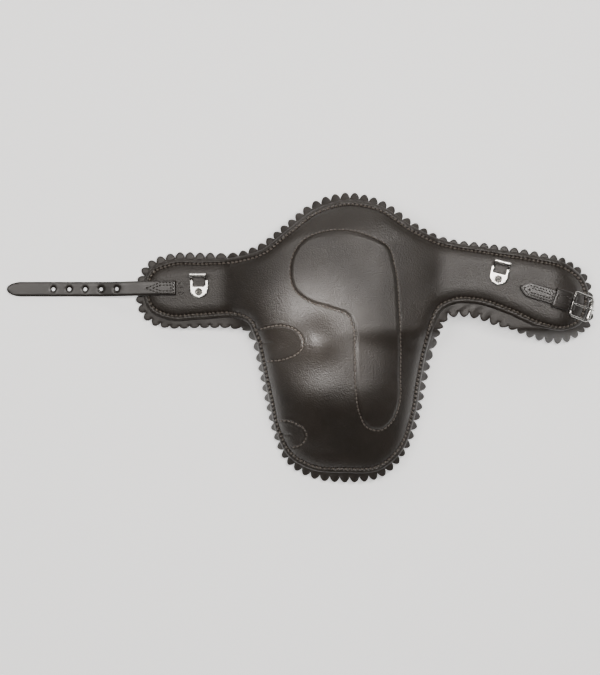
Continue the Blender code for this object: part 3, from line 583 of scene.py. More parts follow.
def lining_level(points):
    """Outer side of the lining: up under the stitch row, lower under the foam, drooping in the margin."""
    within, _ = signed(points, STITCH_CURVE, TO_STITCH, STITCH_OUT)
    under = -4.95 - 1.3 * ease(within / 12)
    x, y = points[:, 0], points[:, 1]
    margin = np.clip(-within - RIM, 0, None)
    pucker = 0.55 * np.sin((x - 0.6 * y) / 2.6) * np.exp(-((x - 180) / 26) ** 2) * (y < 45) * ease(margin / 6)
    return under - 0.045 * margin + pucker + 0.12 * np.sin(x / 5 + y / 7) * ease(margin / 3)


def lining_top(points, gap):
    return lining_level(points) - rounded(gap, 2.0, 0.75)


def lining_bottom(points, gap):
    return LINING_OUT + 0.5 + rounded(gap, 1.6, 0.7) - 0.5 * ease(gap / 8)


def pinked():
    curve = STITCH_CURVE
    base = offset(curve, curve[:, 2] - TOOTH_DEPTH / 2)
    total = lengths_along(base)[-1]
    teeth = round(total / TOOTH_PITCH)
    steps = 18
    spots = np.arange(steps * teeth) * total / (steps * teeth)
    edge = resample(base, spots)
    beat = np.cos(math.pi * np.arange(steps * teeth) / steps)
    lobes = 2 * np.abs(beat) ** LOBE - 1
    return offset(edge, lobes * TOOTH_DEPTH / 2)


# ---- materials ----
def node(tree, kind, **values):
    made = tree.nodes.new(kind)
    for key, value in values.items():
        if key in made.inputs:
            made.inputs[key].default_value = value
        else:
            setattr(made, key, value)
    return made


def new_material(name):
    made = bpy.data.materials.new(name)
    made.use_nodes = True
    return made, made.node_tree, made.node_tree.nodes["Principled BSDF"]


def mapped(tree, value, low, high):
    spread = node(tree, "ShaderNodeMapRange")
    spread.inputs["To Min"].default_value = low
    spread.inputs["To Max"].default_value = high
    tree.links.new(value, spread.inputs["Value"])
    return spread.outputs["Result"]


def toned(tree, value, dark, light, low=0.3, high=0.7):
    ramp = node(tree, "ShaderNodeValToRGB")
    ramp.color_ramp.elements[0].position = low
    ramp.color_ramp.elements[0].color = (*dark, 1)
    ramp.color_ramp.elements[1].position = high
    ramp.color_ramp.elements[1].color = (*light, 1)
    tree.links.new(value, ramp.inputs["Fac"])
    return ramp.outputs["Color"]


def bumped(tree, shader, height, strength, distance, below=None):
    bump = node(tree, "ShaderNodeBump", Strength=strength, Distance=distance)
    tree.links.new(height, bump.inputs["Height"])
    if below:
        tree.links.new(below.outputs["Normal"], bump.inputs["Normal"])
    tree.links.new(bump.outputs["Normal"], shader.inputs["Normal"])
    return bump


def leather(name, dark, light, roughness, pebble, depth):
    """Pebbled leather: rounded grain of a given size, fine pores in it, cloudy colour and gloss."""
    made, tree, shader = new_material(name)
    place = node(tree, "ShaderNodeTexCoord").outputs["Object"]
    grain = node(tree, "ShaderNodeTexVoronoi", feature="SMOOTH_F1", Scale=1 / (pebble * MM), Smoothness=0.55)
    pores = node(tree, "ShaderNodeTexNoise", Scale=2600.0, Detail=3.0, Roughness=0.6)
    cloud = node(tree, "ShaderNodeTexNoise", Scale=28.0, Detail=4.0, Roughness=0.55)
    patch = node(tree, "ShaderNodeTexNoise", Scale=130.0, Detail=3.0, Roughness=0.5)
    for texture in (grain, pores, cloud, patch):
        tree.links.new(place, texture.inputs["Vector"])
    tree.links.new(toned(tree, cloud.outputs["Fac"], dark, light), shader.inputs["Base Color"])
    tree.links.new(mapped(tree, patch.outputs["Fac"], roughness - 0.06, roughness + 0.08),
                   shader.inputs["Roughness"])
    soft = bumped(tree, shader, pores.outputs["Fac"], 0.35, depth * 0.5 * MM)
    bumped(tree, shader, grain.outputs["Distance"], 0.6, depth * MM, below=soft).invert = True
    return made


def nickel(name, dark, light):
    made, tree, shader = new_material(name)
    place = node(tree, "ShaderNodeTexCoord").outputs["Object"]
    stretch = node(tree, "ShaderNodeMapping", Scale=(260.0, 2600.0, 900.0))
    tree.links.new(place, stretch.inputs["Vector"])
    scratch = node(tree, "ShaderNodeTexNoise", Scale=1.0, Detail=4.0)
    tree.links.new(stretch.outputs["Vector"], scratch.inputs["Vector"])
    cloud = node(tree, "ShaderNodeTexNoise", Scale=220.0, Detail=3.0)
    tree.links.new(place, cloud.inputs["Vector"])
    tree.links.new(toned(tree, cloud.outputs["Fac"], dark, light), shader.inputs["Base Color"])
    tree.links.new(mapped(tree, scratch.outputs["Fac"], 0.16, 0.24), shader.inputs["Roughness"])
    bumped(tree, shader, scratch.outputs["Fac"], 0.05, 0.004 * MM)
    shader.inputs["Metallic"].default_value = 1.0
    return made


def thread_finish(name, dark, light):
    """Twisted waxed thread: the twist follows the length coordinate of each stitch."""
    made, tree, shader = new_material(name)
    place = node(tree, "ShaderNodeUVMap", uv_map="along").outputs["UV"]
    twist = node(tree, "ShaderNodeTexWave", Scale=1.0, Distortion=0.4)
    twist.wave_type = "BANDS"
    twist.bands_direction = "DIAGONAL"
    tree.links.new(place, twist.inputs["Vector"])
    tree.links.new(toned(tree, twist.outputs["Fac"], dark, light, 0.1, 0.9), shader.inputs["Base Color"])
    tree.links.new(mapped(tree, twist.outputs["Fac"], 0.28, 0.42), shader.inputs["Roughness"])
    bumped(tree, shader, twist.outputs["Fac"], 0.5, 0.12 * MM)
    return made


def plain(name, dark, light, roughness, scale):
    """Foam or fibre board: speckled and matt."""
    made, tree, shader = new_material(name)
    place = node(tree, "ShaderNodeTexCoord").outputs["Object"]
    speck = node(tree, "ShaderNodeTexNoise", Scale=scale, Detail=4.0)
    tree.links.new(place, speck.inputs["Vector"])
    tree.links.new(toned(tree, speck.outputs["Fac"], dark, light), shader.inputs["Base Color"])
    tree.links.new(mapped(tree, speck.outputs["Fac"], roughness - 0.08, roughness + 0.08),
                   shader.inputs["Roughness"])
    bumped(tree, shader, speck.outputs["Fac"], 0.4, 0.1 * MM)
    return made


SKIN = leather("pebbled_leather", (0.0125, 0.0095, 0.007), (0.020, 0.0155, 0.012), 0.42, 1.5, 0.42)
STRAP = leather("bridle_leather", (0.010, 0.008, 0.0065), (0.017, 0.0138, 0.0115), 0.33, 0.9, 0.08)
LINING = leather("lining_leather", (0.014, 0.011, 0.009), (0.026, 0.0215, 0.018), 0.47, 1.1, 0.16)
THREAD_BLACK = thread_finish("waxed_thread", (0.03, 0.025, 0.021), (0.16, 0.14, 0.12))
THREAD_DARK = thread_finish("black_thread", (0.007, 0.006, 0.005), (0.04, 0.034, 0.029))
NICKEL = nickel("polished_nickel", (0.42, 0.41, 0.39), (0.56, 0.55, 0.53))
# nickel for the rivet heads: its darker base colour is a painted dark reflection, standing in for the dark
# surroundings the heads mirror
PAINTED_SHADE_NICKEL = nickel("nickel_painted_dark_reflection", (0.10, 0.097, 0.09), (0.17, 0.165, 0.155))
FOAM = plain("foam", (0.03, 0.03, 0.03), (0.06, 0.06, 0.058), 0.9, 900.0)
BOARD = plain("fibre_board", (0.10, 0.075, 0.05), (0.17, 0.13, 0.09), 0.8, 500.0)


# ---- stitches ----
def stitch_centres(curve, pitch, closed=True, start=0.0):
    """Middle and direction of each stitch along a curve."""
    total = lengths_along(curve, closed)[-1]
    count = max(1, round((total - 2 * start) / pitch))
    step = (total - 2 * start) / count
    middle = start + (np.arange(count) + 0.5) * step
    ahead = resample(curve, middle + 0.3, closed)[:, :2]
    back = resample(curve, middle - 0.3, closed)[:, :2]
    run = ahead - back
    return (ahead + back) / 2, run / np.linalg.norm(run, axis=1, keepdims=True), step


def stitch_rows(loops, pitch):
    rows = [stitch_centres(loop, pitch) for loop in loops]
    return np.concatenate([row[0] for row in rows]), np.concatenate([row[1] for row in rows]), rows[-1][2]


def stitches(name, centres, runs, step, surface, place, finish, thickness=THREAD, sides=8, lie=0.2):
    """Short bowed threads that dive into the leather at both ends."""
    stations = np.array([-1.0, -0.86, -0.5, 0.0, 0.5, 0.86, 1.0])
    reach = (step - 0.75) / 2
    rise = thickness / 2 * (lie + 0.55 * (1 - np.abs(stations) ** 2.6)) - 0.75 * np.abs(stations) ** 6
    width = thickness / 2 * np.array([0.35, 0.78, 1.0, 1.04, 1.0, 0.78, 0.35])
    turn = np.arange(sides) * 2 * math.pi / sides
    points, along, around = [], [], []
    for k, station in enumerate(stations):
        spot = centres + runs * station * reach
        base = surface(spot)
        for angle in turn:
            side = np.stack([-runs[:, 1], runs[:, 0]], axis=1) * width[k] * math.cos(angle)
            flat = spot + side
            points.append(place(flat[:, 0], flat[:, 1], base + rise[k] + width[k] * math.sin(angle)))
            along.append(station * reach)
            around.append(angle)
    count, per = len(centres), len(stations) * sides
    points = np.stack(points, axis=1).reshape(count * per, 3)
    one = tube_quads(len(stations), sides)
    quads = (one[None] + np.arange(count)[:, None, None] * per).reshape(-1, 4)
    caps = np.array([tuple(range(sides - 1, -1, -1)), tuple(range(per - sides, per))])
    ends = (caps[None] + np.arange(count)[:, None, None] * per).reshape(-1, sides)
    made = make(name, points, [quads, ends], finish)
    layer = made.data.uv_layers.new(name="along")
    coordinates = np.stack([np.tile(along, count) * 3.2, np.tile(around, count) * 1.0], axis=1)
    corners = np.zeros(len(made.data.loops), np.int32)
    made.data.loops.foreach_get("vertex_index", corners)
    layer.data.foreach_set("uv", coordinates[corners].astype(np.float32).ravel())
    return made


# ---- pad ----
def blended(piece, body, x_range):
    start, end = ((x * MM, 0.05, 0.02) for x in x_range)
    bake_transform(piece)
    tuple(start)
    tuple(end)


def skin_lines():
    """Curves that the skin's points follow, beside the panel and dart stitches."""
    panel = thinned(PANEL_CURVE, 1.4)
    lines = [offset(panel, distance) for distance in (0.0, 0.8, -0.8, 1.8, -1.8, -3.0, -4.2, -5.6)]
    for curve in DART_CURVES:
        dart = thinned(curve, 1.4, closed=False)
        lines += [offset(dart, distance, closed=False) for distance in (0.0, 0.8, -0.8, 1.7, -1.7)]
    for a, b in (UPPER_SLIT, LOWER_SLIT):
        share = np.linspace(0, 1, 18)[:, None]
        run = np.array(a) * (1 - share) + np.array(b) * share
        lines += [run + np.array([0, gap]) for gap in (0.0, 0.9, -0.9)]
    return lines


def make_pad():
    outline = thinned(offset(STITCH_CURVE, RIM), 1.25)
    holes = [ring(place, 4.2, 16) for place in (LEFT_HANGER, RIGHT_HANGER)]
    rings = (0.45, 1.0, 1.8, 2.8, 4.0, 5.1, 5.6, 6.0, 6.4, 6.9, 7.8, 9.2)
    flat = flat_mesh([outline], 2.2, rings=rings, lines=skin_lines())
    left, right = halves(("skin_left", "skin_right"), flat, skin_top, skin_bottom, on_pad, SKIN)
    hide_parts("shell_left_arm", "shell_centre")
    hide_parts("shell_right_arm")
    flat = flat_mesh([pinked()] + holes, 4.5, rings=(0.6, 1.3), fine=(1.5, 20.0))
    back_left, back_right = halves(("lining_left", "lining_right"), flat, lining_top, lining_bottom, on_pad,
                                   LINING)
    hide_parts("lining_left_arm", "lining_centre")
    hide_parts("lining_right_arm")
    foam_edge = thinned(offset(STITCH_CURVE, -2.5), 4.0)
    window = thinned(offset(PANEL_CURVE, -INSERT_INSET + 2 * CLEARANCE), 4.0)
    flat = flat_mesh([foam_edge, window] + holes, 6.0)
    foam_left, foam_right = halves(
        ("foam_left", "foam_right"), flat, lambda points, gap: skin_level(points) - SHELL - 1.1,
        lambda points, gap: np.minimum(lining_level(points) + CLEARANCE, skin_level(points) - SHELL - 1.4),
        on_pad, FOAM)
    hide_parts("core_left_arm", "core_centre")
    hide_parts("core_right_arm")
    for piece in (left, back_left, foam_left):
        blended(piece, "left_arm", LEFT_BLEND)
    for piece in (right, back_right, foam_right):
        blended(piece, "right_arm", RIGHT_BLEND)


def make_pad_stitches():
    centres, runs, step = stitch_centres(STITCH_CURVE, EDGE_PITCH)
    left = centres[:, 0] < SEAM_X
    for side, chosen, body, x_range in (("left", left, "left_arm", LEFT_BLEND),
                                        ("right", ~left, "right_arm", RIGHT_BLEND)):
        front = stitches(f"edge_stitches_{side}", centres[chosen], runs[chosen], step, skin_level, on_pad,
                         THREAD_BLACK)
        back = stitches(f"lining_stitches_{side}", centres[chosen], runs[chosen], step,
                        lambda spots: np.full(len(spots), LINING_OUT), on_pad,
                        THREAD_BLACK, lie=-0.9)
        if side == "left":
            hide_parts("edge_thread_left_arm", "edge_thread_top", "edge_thread_skirt")
        else:
            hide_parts("edge_thread_right_arm")
        for piece in (front, back):
            blended(piece, body, x_range)
    rows = [("panel_stitches", PANEL_CURVE, True, "panel_thread"),
            ("upper_dart_stitches", DART_CURVES[0], False, "upper_dart_thread"),
            ("lower_dart_stitches", DART_CURVES[1], False, "lower_dart_thread")]
    for name, curve, closed, replaced in rows:
        centres, runs, step = stitch_centres(curve, FINE_PITCH, closed)
        piece = stitches(name, centres, runs, step, skin_level, on_pad, THREAD_BLACK, thickness=1.5)
        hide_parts(replaced)
        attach(piece, "pad")


# ---- strap ----
def strap_middle():
    """Height of the strap's middle along x: level on the arm, then down on to the table."""
    x = np.arange(-330.0, -120.0, 0.5)
    arm = LEFT_HEIGHT + LEFT_SLOPE * (x - LEFT_END) + STRAP_THICKNESS / 2 + 0.35
    top = LEFT_HEIGHT + LEFT_SLOPE * (STRAP_JOINT - LEFT_END) + STRAP_THICKNESS / 2 + 0.9
    low = STRAP_THICKNESS / 2 + 0.05
    free = low + (top - low) * ease((x - (STRAP_JOINT - STRAP_FALL)) / STRAP_FALL)
    share = ease((x - STRAP_JOINT) / 16)
    z = free * (1 - share) + arm * share
    kernel = np.ones(25) / 25
    smooth = np.convolve(np.pad(z, 12, mode="edge"), kernel, mode="valid")
    return x, smooth


STRAP_X, STRAP_Z = strap_middle()


def on_strap(x, y, level):
    middle = np.interp(x, STRAP_X, STRAP_Z)
    slope = np.interp(x + 0.5, STRAP_X, STRAP_Z) - np.interp(x - 0.5, STRAP_X, STRAP_Z)
    length = np.sqrt(1 + slope * slope)
    return np.stack([x - level * slope / length, y, middle + level / length], axis=-1)


def strap_centre(x):
    return STRAP_Y + STRAP_SHIFT * ease((x + 215) / 70)


def make_strap():
    half = STRAP_WIDTH / 2
    t = np.sin(np.linspace(-math.pi / 2, math.pi / 2, 40))
    tip = [(STRAP_TIP + STRAP_POINT * (1 - (1 - abs(k) ** 2.2) ** 0.55), half * k) for k in t]
    run = np.arange(STRAP_TIP + 17, STRAP_SEWN_END - 0.5, 1.2)
    top = [(x, half) for x in run] + [(STRAP_SEWN_END, half)]
    low = [(STRAP_SEWN_END, y) for y in np.linspace(half, -half, 12)[1:]] + [(x, -half) for x in run[::-1]]
    outline = np.array(tip + top + low)
    holes = [ring((FIRST_HOLE + HOLE_PITCH * k, 0.0), HOLE, 24) for k in range(HOLES)]
    flat = flat_mesh([outline] + [hole[::-1] for hole in holes], 1.8, rings=(0.3, 0.8))

    def level(points, gap):
        return STRAP_THICKNESS / 2 - rounded(gap, 0.8) - 0.12 * np.exp(-((gap - 1.9) / 0.5) ** 2)

    def place(x, y, off):
        return on_strap(x, y + strap_centre(x), off)

    strap = whole("strap", flat, level, lambda points, gap: -level(points, gap), place, STRAP)
    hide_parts("strap_billet", "strap_tab")
    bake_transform(strap)
    point, back, reach = STRAP_SEWN_END - TACK_LENGTH, STRAP_SEWN_END - 2.4, half - 2.2
    arrow = np.array([(point, 0), (point + TACK_POINT, reach), (back, reach), (back, -reach),
                      (point + TACK_POINT, -reach)])
    inner = np.array([(point + 7, 0), (point + 16.5, reach - 2.6), (back - 2.4, reach - 2.6),
                      (back - 2.4, 2.6 - reach),
                      (point + 16.5, 2.6 - reach)])
    centres, runs, step = stitch_rows((arrow, inner), TACK_PITCH)
    extra = np.array([(-129.6, 5.0), (-127.4, 0.6), (-129.2, -4.8), (-125.6, -5.4)])
    piece = stitches("strap_stitches", centres, runs, step,
                     lambda spots: np.full(len(spots), STRAP_THICKNESS / 2 - 0.1),
                     place, THREAD_DARK, thickness=1.3)
    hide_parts("strap_tab_thread")
    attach(piece, "left_arm")
    shift = extra + np.array([0.0, STRAP_Y + STRAP_SHIFT])
    tacks = stitches("strap_tack_stitches", shift, np.tile([(0.94, 0.34)], (4, 1)), 3.8, skin_level, on_pad,
                     THREAD_DARK,
                     thickness=1.1)
    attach(tacks, "left_arm")


# ---- hangers and rivets ----
def arm_frame(x, y, turn):
    spot = np.array([float(x)]), np.array([float(y)])
    up = Vector(normal(*spot)[0])
    across = Vector((0, 1, 0)).cross(up).normalized()
    along = up.cross(across)
    placed = Matrix((across, along, up)).transposed().to_4x4() @ Matrix.Rotation(math.radians(turn), 4, "Z")
    placed.translation = Vector((x, y, float(height(*spot)[0])))
    return placed


def moved(placed, points):
    matrix = np.array(placed)
    return np.asarray(points) @ matrix[:3, :3].T + matrix[:3, 3]


def hanger_path():
    """Arc length, place and slope along the plate and its bent arms."""
    rise = HANGER_LIFT / math.sin(math.radians(HANGER_ANGLE))
    b = np.arange(-10.0, 30.0, 0.1)
    corner = HANGER_CORNER
    angle = math.radians(HANGER_ANGLE) * (ease((b - HANGER_KNEE + corner / 2) / corner)
                                          - ease((b - HANGER_KNEE - rise + corner / 2) / corner))
    y = np.cumsum(np.cos(angle)) * 0.1
    z = np.cumsum(np.sin(angle)) * 0.1
    return b, y - np.interp(0, b, y), z - np.interp(0, b, z), angle


def make_hanger(side, place, body):
    placed = arm_frame(*place)
    half, slot, bar = HANGER_WIDTH / 2, HANGER_SLOT / 2, HANGER_BAR_LENGTH / 2
    rise = HANGER_LIFT / math.sin(math.radians(HANGER_ANGLE))
    shoulder = HANGER_KNEE + rise
    end = shoulder + HANGER_BAR
    path = hanger_path()

    def place_hanger(a, b, level):
        along, y, z, angle = path
        bend = np.interp(b, along, angle)
        points = np.stack([a, np.interp(b, along, y) - level * np.sin(bend),
                           np.interp(b, along, z) + level * np.cos(bend)],
                          axis=-1)
        return moved(placed, points)

    bottom = [(half * math.cos(t), half * math.sin(t) + HANGER_FOOT) for t in np.linspace(0, -math.pi, 40)]
    corners = [(-half, HANGER_KNEE - 1), (-bar + 0.6, HANGER_KNEE + 1.6), (-bar + 0.6, shoulder - 0.8),
               (-bar, shoulder), (-bar, end),
               (bar, end), (bar, shoulder), (bar - 0.6, shoulder - 0.8), (bar - 0.6,
                                                                          HANGER_KNEE + 1.6), (half, HANGER_KNEE - 1)]
    outline = thinned(np.array(bottom + corners), 0.7)
    opening = thinned(np.array([(-slot, HANGER_SILL), (-slot, shoulder), (slot, shoulder),
                                (slot, HANGER_SILL)]), 0.7)
    flat = flat_mesh([outline, opening[::-1]], 0.9, rings=(0.25,))

    def top(points, gap):
        return HANGER_SEAT + HANGER_PLATE - rounded(gap, 0.4)

    piece = whole(f"hanger_{side}_fine", flat, top, lambda points, gap: HANGER_SEAT + rounded(gap, 0.4),
                  place_hanger, NICKEL)
    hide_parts(f"hanger_{side}")
    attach(piece, body)


def turned(name, profile, placed, finish, sides=48):
    profile = np.asarray(profile, float)
    turn = np.arange(sides) * 2 * math.pi / sides
    rows = [np.stack([r * np.cos(turn), r * np.sin(turn), np.full(sides, z)], axis=1) for r,
            z in profile[1:-1]]
    points = np.concatenate([[(0, 0, profile[0, 1])], *rows, [(0, 0, profile[-1, 1])]])
    last = len(points) - 1
    k = np.arange(sides)
    after = (k + 1) % sides
    fans = np.concatenate([np.stack([0 * k, 1 + k, 1 + after], axis=1),
                           np.stack([0 * k + last, last - sides + after, last - sides + k], axis=1)])
    return make(name, moved(placed, points), [fans, tube_quads(len(rows), sides, first=1, inward=True)],
                finish)


def make_rivet(side, place, body):
    placed = arm_frame(*place)
    head, base = RIVET_HEAD / 2, HANGER_SEAT + HANGER_PLATE
    dome = [(0, base + 1.45), (0.5, base + 1.42), (0.95, base + 1.25), (1.25, base + 0.95),
            (1.5, base + 0.75),
            (1.9, base + 0.72), (2.25, base + 0.85), (2.6, base + 1.1), (3.0, base + 1.2), (3.4, base + 1.12),
            (3.8, base + 0.8), (head, base + 0.35), (head, base + 0.05), (head - 0.3,
                                                                          base - 0.02), (0, base - 0.02)]
    # the head's darker nickel is a painted dark reflection, not a darker metal
    piece = turned(f"rivet_head_{side}", dome, placed, PAINTED_SHADE_NICKEL)
    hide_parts(f"rivet_{side}")
    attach(piece, body)
    low = LINING_OUT
    cap = [(0, low - 1.5), (0.9, low - 1.45), (1.5, low - 1.2), (1.9, low - 0.8), (2.4, low - 0.75),
           (3.9, low - 0.7),
           (4.3, low - 0.55), (BURR / 2, low - 0.25), (BURR / 2 - 0.1, low + 0.1), (0, low + 0.1)]
    back = turned(f"burr_{side}", cap[::-1], placed, NICKEL)
    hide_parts(f"rivet_burr_{side}")
    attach(back, body)


# ---- chape, keeper and buckle ----
def on_chape(u, v, level):
    tilt = math.atan(RIGHT_SLOPE)
    yaw = math.radians(CHAPE_YAW)
    flat_x = (CHAPE_TIP[0] - RIGHT_BEND) / math.cos(tilt) + u * math.cos(yaw) - v * math.sin(yaw)
    y = CHAPE_TIP[1] + u * math.sin(yaw) + v * math.cos(yaw)
    turn = tilt + np.clip(flat_x, 0, None) / CURL_RADIUS
    straight = np.minimum(flat_x, 0)
    x = (RIGHT_BEND + straight * math.cos(tilt) + CURL_RADIUS * (np.sin(turn) - math.sin(tilt))
         + level * np.sin(turn))
    z = (RIGHT_HEIGHT - straight * math.sin(tilt) - CURL_RADIUS * (math.cos(tilt) - np.cos(turn))
         + level * np.cos(turn))
    return np.stack([x, y, z], axis=-1)


HEEL_RADIUS = BUCKLE_WIRE / 2
LOOP_INNER = HEEL_RADIUS + CLEARANCE + 0.1
LOOP_OUTER = LOOP_INNER + CHAPE_WRAP
HEEL_LEVEL = SEAT_GAP + LOOP_OUTER


def make_chape():
    """Strap leather: a pointed top layer that folds round the heel bar and runs back underneath."""
    half, point, top = STRAP_WIDTH / 2, CHAPE_POINT, SEAT_GAP + CHAPE_THICKNESS
    meets = math.pi - math.asin((top - HEEL_LEVEL) / LOOP_OUTER)
    turn = np.linspace(meets, -math.pi / 2, 40)
    fold = np.stack([CHAPE_LENGTH + LOOP_OUTER * np.cos(turn), HEEL_LEVEL + LOOP_OUTER * np.sin(turn)],
                    axis=1)
    over = [(u, top) for u in np.arange(1.2, CHAPE_LENGTH - LOOP_OUTER, 1.2)]
    under = [(u, SEAT_GAP - 0.35) for u in np.arange(CHAPE_LENGTH - 2, 0, -1.2)]
    profile = np.array([(0, SEAT_GAP - 0.3), (0, top - 0.9),
                        (0.4, top - 0.3)] + over + [tuple(spot) for spot in fold] + under)
    insets = [(1.0, 1.1), (0.985, 0.62), (0.955, 0.28), (0.91, 0.08), (0.85, 0.0)]
    stations = [(-share, inset) for share, inset in insets] + [(share, inset) for share,
                                                               inset in insets[::-1]]
    points = []
    for share, inset in stations:
        shape = offset(profile, -inset * 0.75)
        width = half * np.clip(0.06 + 0.94 * (np.clip(profile[:, 0], 0, None) / point) ** 0.8, 0, 1)
        points.append(on_chape(shape[:, 0], share * width, shape[:, 1]))
    count = len(profile)
    caps = [tuple(range(count - 1, -1, -1)), tuple(range(len(points) * count - count, len(points) * count))]
    piece = make("chape_fine", np.concatenate(points), [tube_quads(len(stations), count), caps], STRAP)
    slot_cut(piece)
    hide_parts("chape")
    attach(piece, "right_arm")
    rows = [np.array([(4, 0), (11.5, 5.0), (KEEPER_START - 1.5, 5.0), (KEEPER_START - 1.5, -5.0),
                      (11.5, -5.0)]),
            np.array([(9.5, 0), (13.5, 2.2), (KEEPER_START - 4.5, 2.2), (KEEPER_START - 4.5, -2.2),
                      (13.5, -2.2)])]
    centres, runs, step = stitch_rows(rows, CHAPE_PITCH)
    sewn = stitches("chape_stitches", centres, runs, step, lambda spots: np.full(len(spots), top - 0.08),
                    on_chape, THREAD_DARK, thickness=1.3)
    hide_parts("chape_thread")
    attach(sewn, "right_arm")


def slot_cut(piece):
    """The tongue's slot through the fold, cut by a Boolean whose result is kept as the piece's mesh."""
    slot, start, end = TONGUE / 2 + 0.8, CHAPE_LENGTH - LOOP_OUTER - 4, CHAPE_LENGTH + LOOP_OUTER + 2
    corners = [(u, v, level) for level in (-1.5, 12) for u,
               v in ((start, -slot), (end, -slot), (end, slot), (start, slot))]
    points = on_chape(*[np.array(column, float) for column in zip(*corners)])
    faces = [(3, 2, 1, 0), (4, 5, 6, 7), (0, 1, 5, 4), (1, 2, 6, 5), (2, 3, 7, 6), (3, 0, 4, 7)]
    cutter = make("slot_cutter", points, [faces], STRAP)
    change = piece.modifiers.new("slot", "BOOLEAN")
    change.operation = "DIFFERENCE"
    change.object = cutter
    mesh = bpy.data.meshes.new_from_object(piece.evaluated_get(bpy.context.evaluated_depsgraph_get()))
    piece.modifiers.clear()
    piece.data = mesh
    mesh.set_sharp_from_angle(angle=math.radians(50))
    bpy.data.objects.remove(cutter)


def rounded_loop(half_width, low, high, radius, steps=8):
    """A rounded rectangle, clockwise seen along the sweep, as (across, level)."""
    spots = []
    for cx, cy, start in ((half_width - radius, high - radius, 90), (half_width - radius, low + radius, 0),
                          (radius - half_width, low + radius, -90), (radius - half_width, high - radius,
                                                                     -180)):
        for k in range(steps + 1):
            turn = math.radians(start - 90 * k / steps)
            spots.append((cx + radius * math.cos(turn), cy + radius * math.sin(turn)))
    return np.array(spots)


def make_keeper():
    half = STRAP_WIDTH / 2 + SEAT_GAP
    low, ceiling = SEAT_GAP - 0.2, SEAT_GAP + CHAPE_THICKNESS + KEEPER_ROOM
    top = ceiling + KEEPER_WALL
    insets = [(0.0, 0.5), (0.15, 0.2), (0.5, 0.0)]
    stations = insets + [(u, 0.0) for u in np.linspace(1.5, KEEPER_LENGTH - 1.5, 12)]
    stations += [(KEEPER_LENGTH - u, inset) for u, inset in insets[::-1]]
    outers, inners = [], []
    for along, inset in stations:
        outer = rounded_loop(half + KEEPER_WALL - inset, low + inset - 0.3, top - inset, 1.9)
        inner = rounded_loop(half + inset, low + KEEPER_WALL * 0.4 - inset * 0.5, ceiling + inset, 0.8)
        outers.append(on_chape(np.full(len(outer), KEEPER_START + along), outer[:, 0], outer[:, 1]))
        inners.append(on_chape(np.full(len(inner), KEEPER_START + along), inner[:, 0], inner[:, 1]))
    count, rows = len(outers[0]), len(stations)
    k = np.arange(count)
    after = (k + 1) % count
    shift = rows * count
    quads = [tube_quads(rows, count), tube_quads(rows, count, first=shift, inward=True)]
    last = (rows - 1) * count
    quads.append(np.stack([after, k, shift + k, shift + after], axis=1))
    quads.append(np.stack([last + k, last + after, shift + last + after, shift + last + k], axis=1))
    piece = make("keeper_fine", np.concatenate(outers + inners), [np.concatenate(quads)], STRAP)
    fix_normals(piece)
    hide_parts("keeper")
    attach(piece, "right_arm")
    start, end = KEEPER_START + 2.4, KEEPER_START + KEEPER_LENGTH - 2.4
    rows = np.array([(start, 3.9), (end, 3.9), (end, -3.9), (start, -3.9)])
    centres, runs, step = stitch_centres(rows, CHAPE_PITCH)
    sewn = stitches("keeper_stitches", centres, runs, step, lambda spots: np.full(len(spots), top - 0.05),
                    on_chape,
                    THREAD_DARK, thickness=1.2)
    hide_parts("keeper_thread")
    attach(sewn, "right_arm")


def fix_normals(piece):
    model = bmesh.new()
    model.from_mesh(piece.data)
    bmesh.ops.recalc_face_normals(model, faces=model.faces)
    model.to_mesh(piece.data)
    model.free()


def buckle_axes():
    spots = [(CHAPE_LENGTH, 0, HEEL_LEVEL), (CHAPE_LENGTH, 5, HEEL_LEVEL), (CHAPE_LENGTH, 0, HEEL_LEVEL + 5)]
    heel, aside, above = (Vector(on_chape(*[np.array([float(value)]) for value in spot])[0])
                          for spot in spots)
    along = (aside - heel).normalized()
    up = (above - heel).normalized()
    forward = along.cross(up).normalized()
    placed = Matrix((forward, along, forward.cross(along))).transposed().to_4x4()
    placed.translation = heel
    return placed @ Matrix.Rotation(math.radians(BUCKLE_DROOP), 4, "Y")


def wire(name, path, radius, placed, finish, sides=20):
    """A round wire along the points of a closed flat path."""
    path = np.asarray(path, float)
    run = np.roll(path, -1, axis=0) - np.roll(path, 1, axis=0)
    run /= np.linalg.norm(run, axis=1, keepdims=True)
    side = np.stack([run[:, 1], -run[:, 0], np.zeros(len(path))], axis=1)
    turn = np.arange(sides) * 2 * math.pi / sides
    around = side[:, None] * np.cos(turn)[None, :, None] + np.array([0, 0, 1.0]) * np.sin(turn)[None, :, None]
    points = (path[:, None] + radius * around).reshape(-1, 3)
    quads = tube_quads(len(path), sides, inward=True, looped=True)
    piece = make(name, moved(placed, points), [quads], finish)
    fix_normals(piece)
    return piece


def make_buckle():
    placed = buckle_axes()
    radius = BUCKLE_WIRE / 2
    half = BUCKLE_WIDTH / 2 - radius
    corner = BUCKLE_CORNER
    path = []
    for cx, cy, start in ((BUCKLE_REACH, half, 0), (0, half, 90), (0, -half, 180),
                          (BUCKLE_REACH, -half, 270)):
        inward_x = cx - math.copysign(corner, cx - BUCKLE_REACH / 2)
        inward_y = cy - math.copysign(corner, cy)
        for k in range(9):
            turn = math.radians(start + 90 * k / 8)
            path.append((inward_x + corner * math.cos(turn), inward_y + corner * math.sin(turn), 0))
    piece = wire("buckle_wire", path, radius, placed, NICKEL)
    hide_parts("buckle_frame")
    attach(piece, "buckle")
    make_roller(placed, half - corner - CLEARANCE)
    make_tongue(placed)


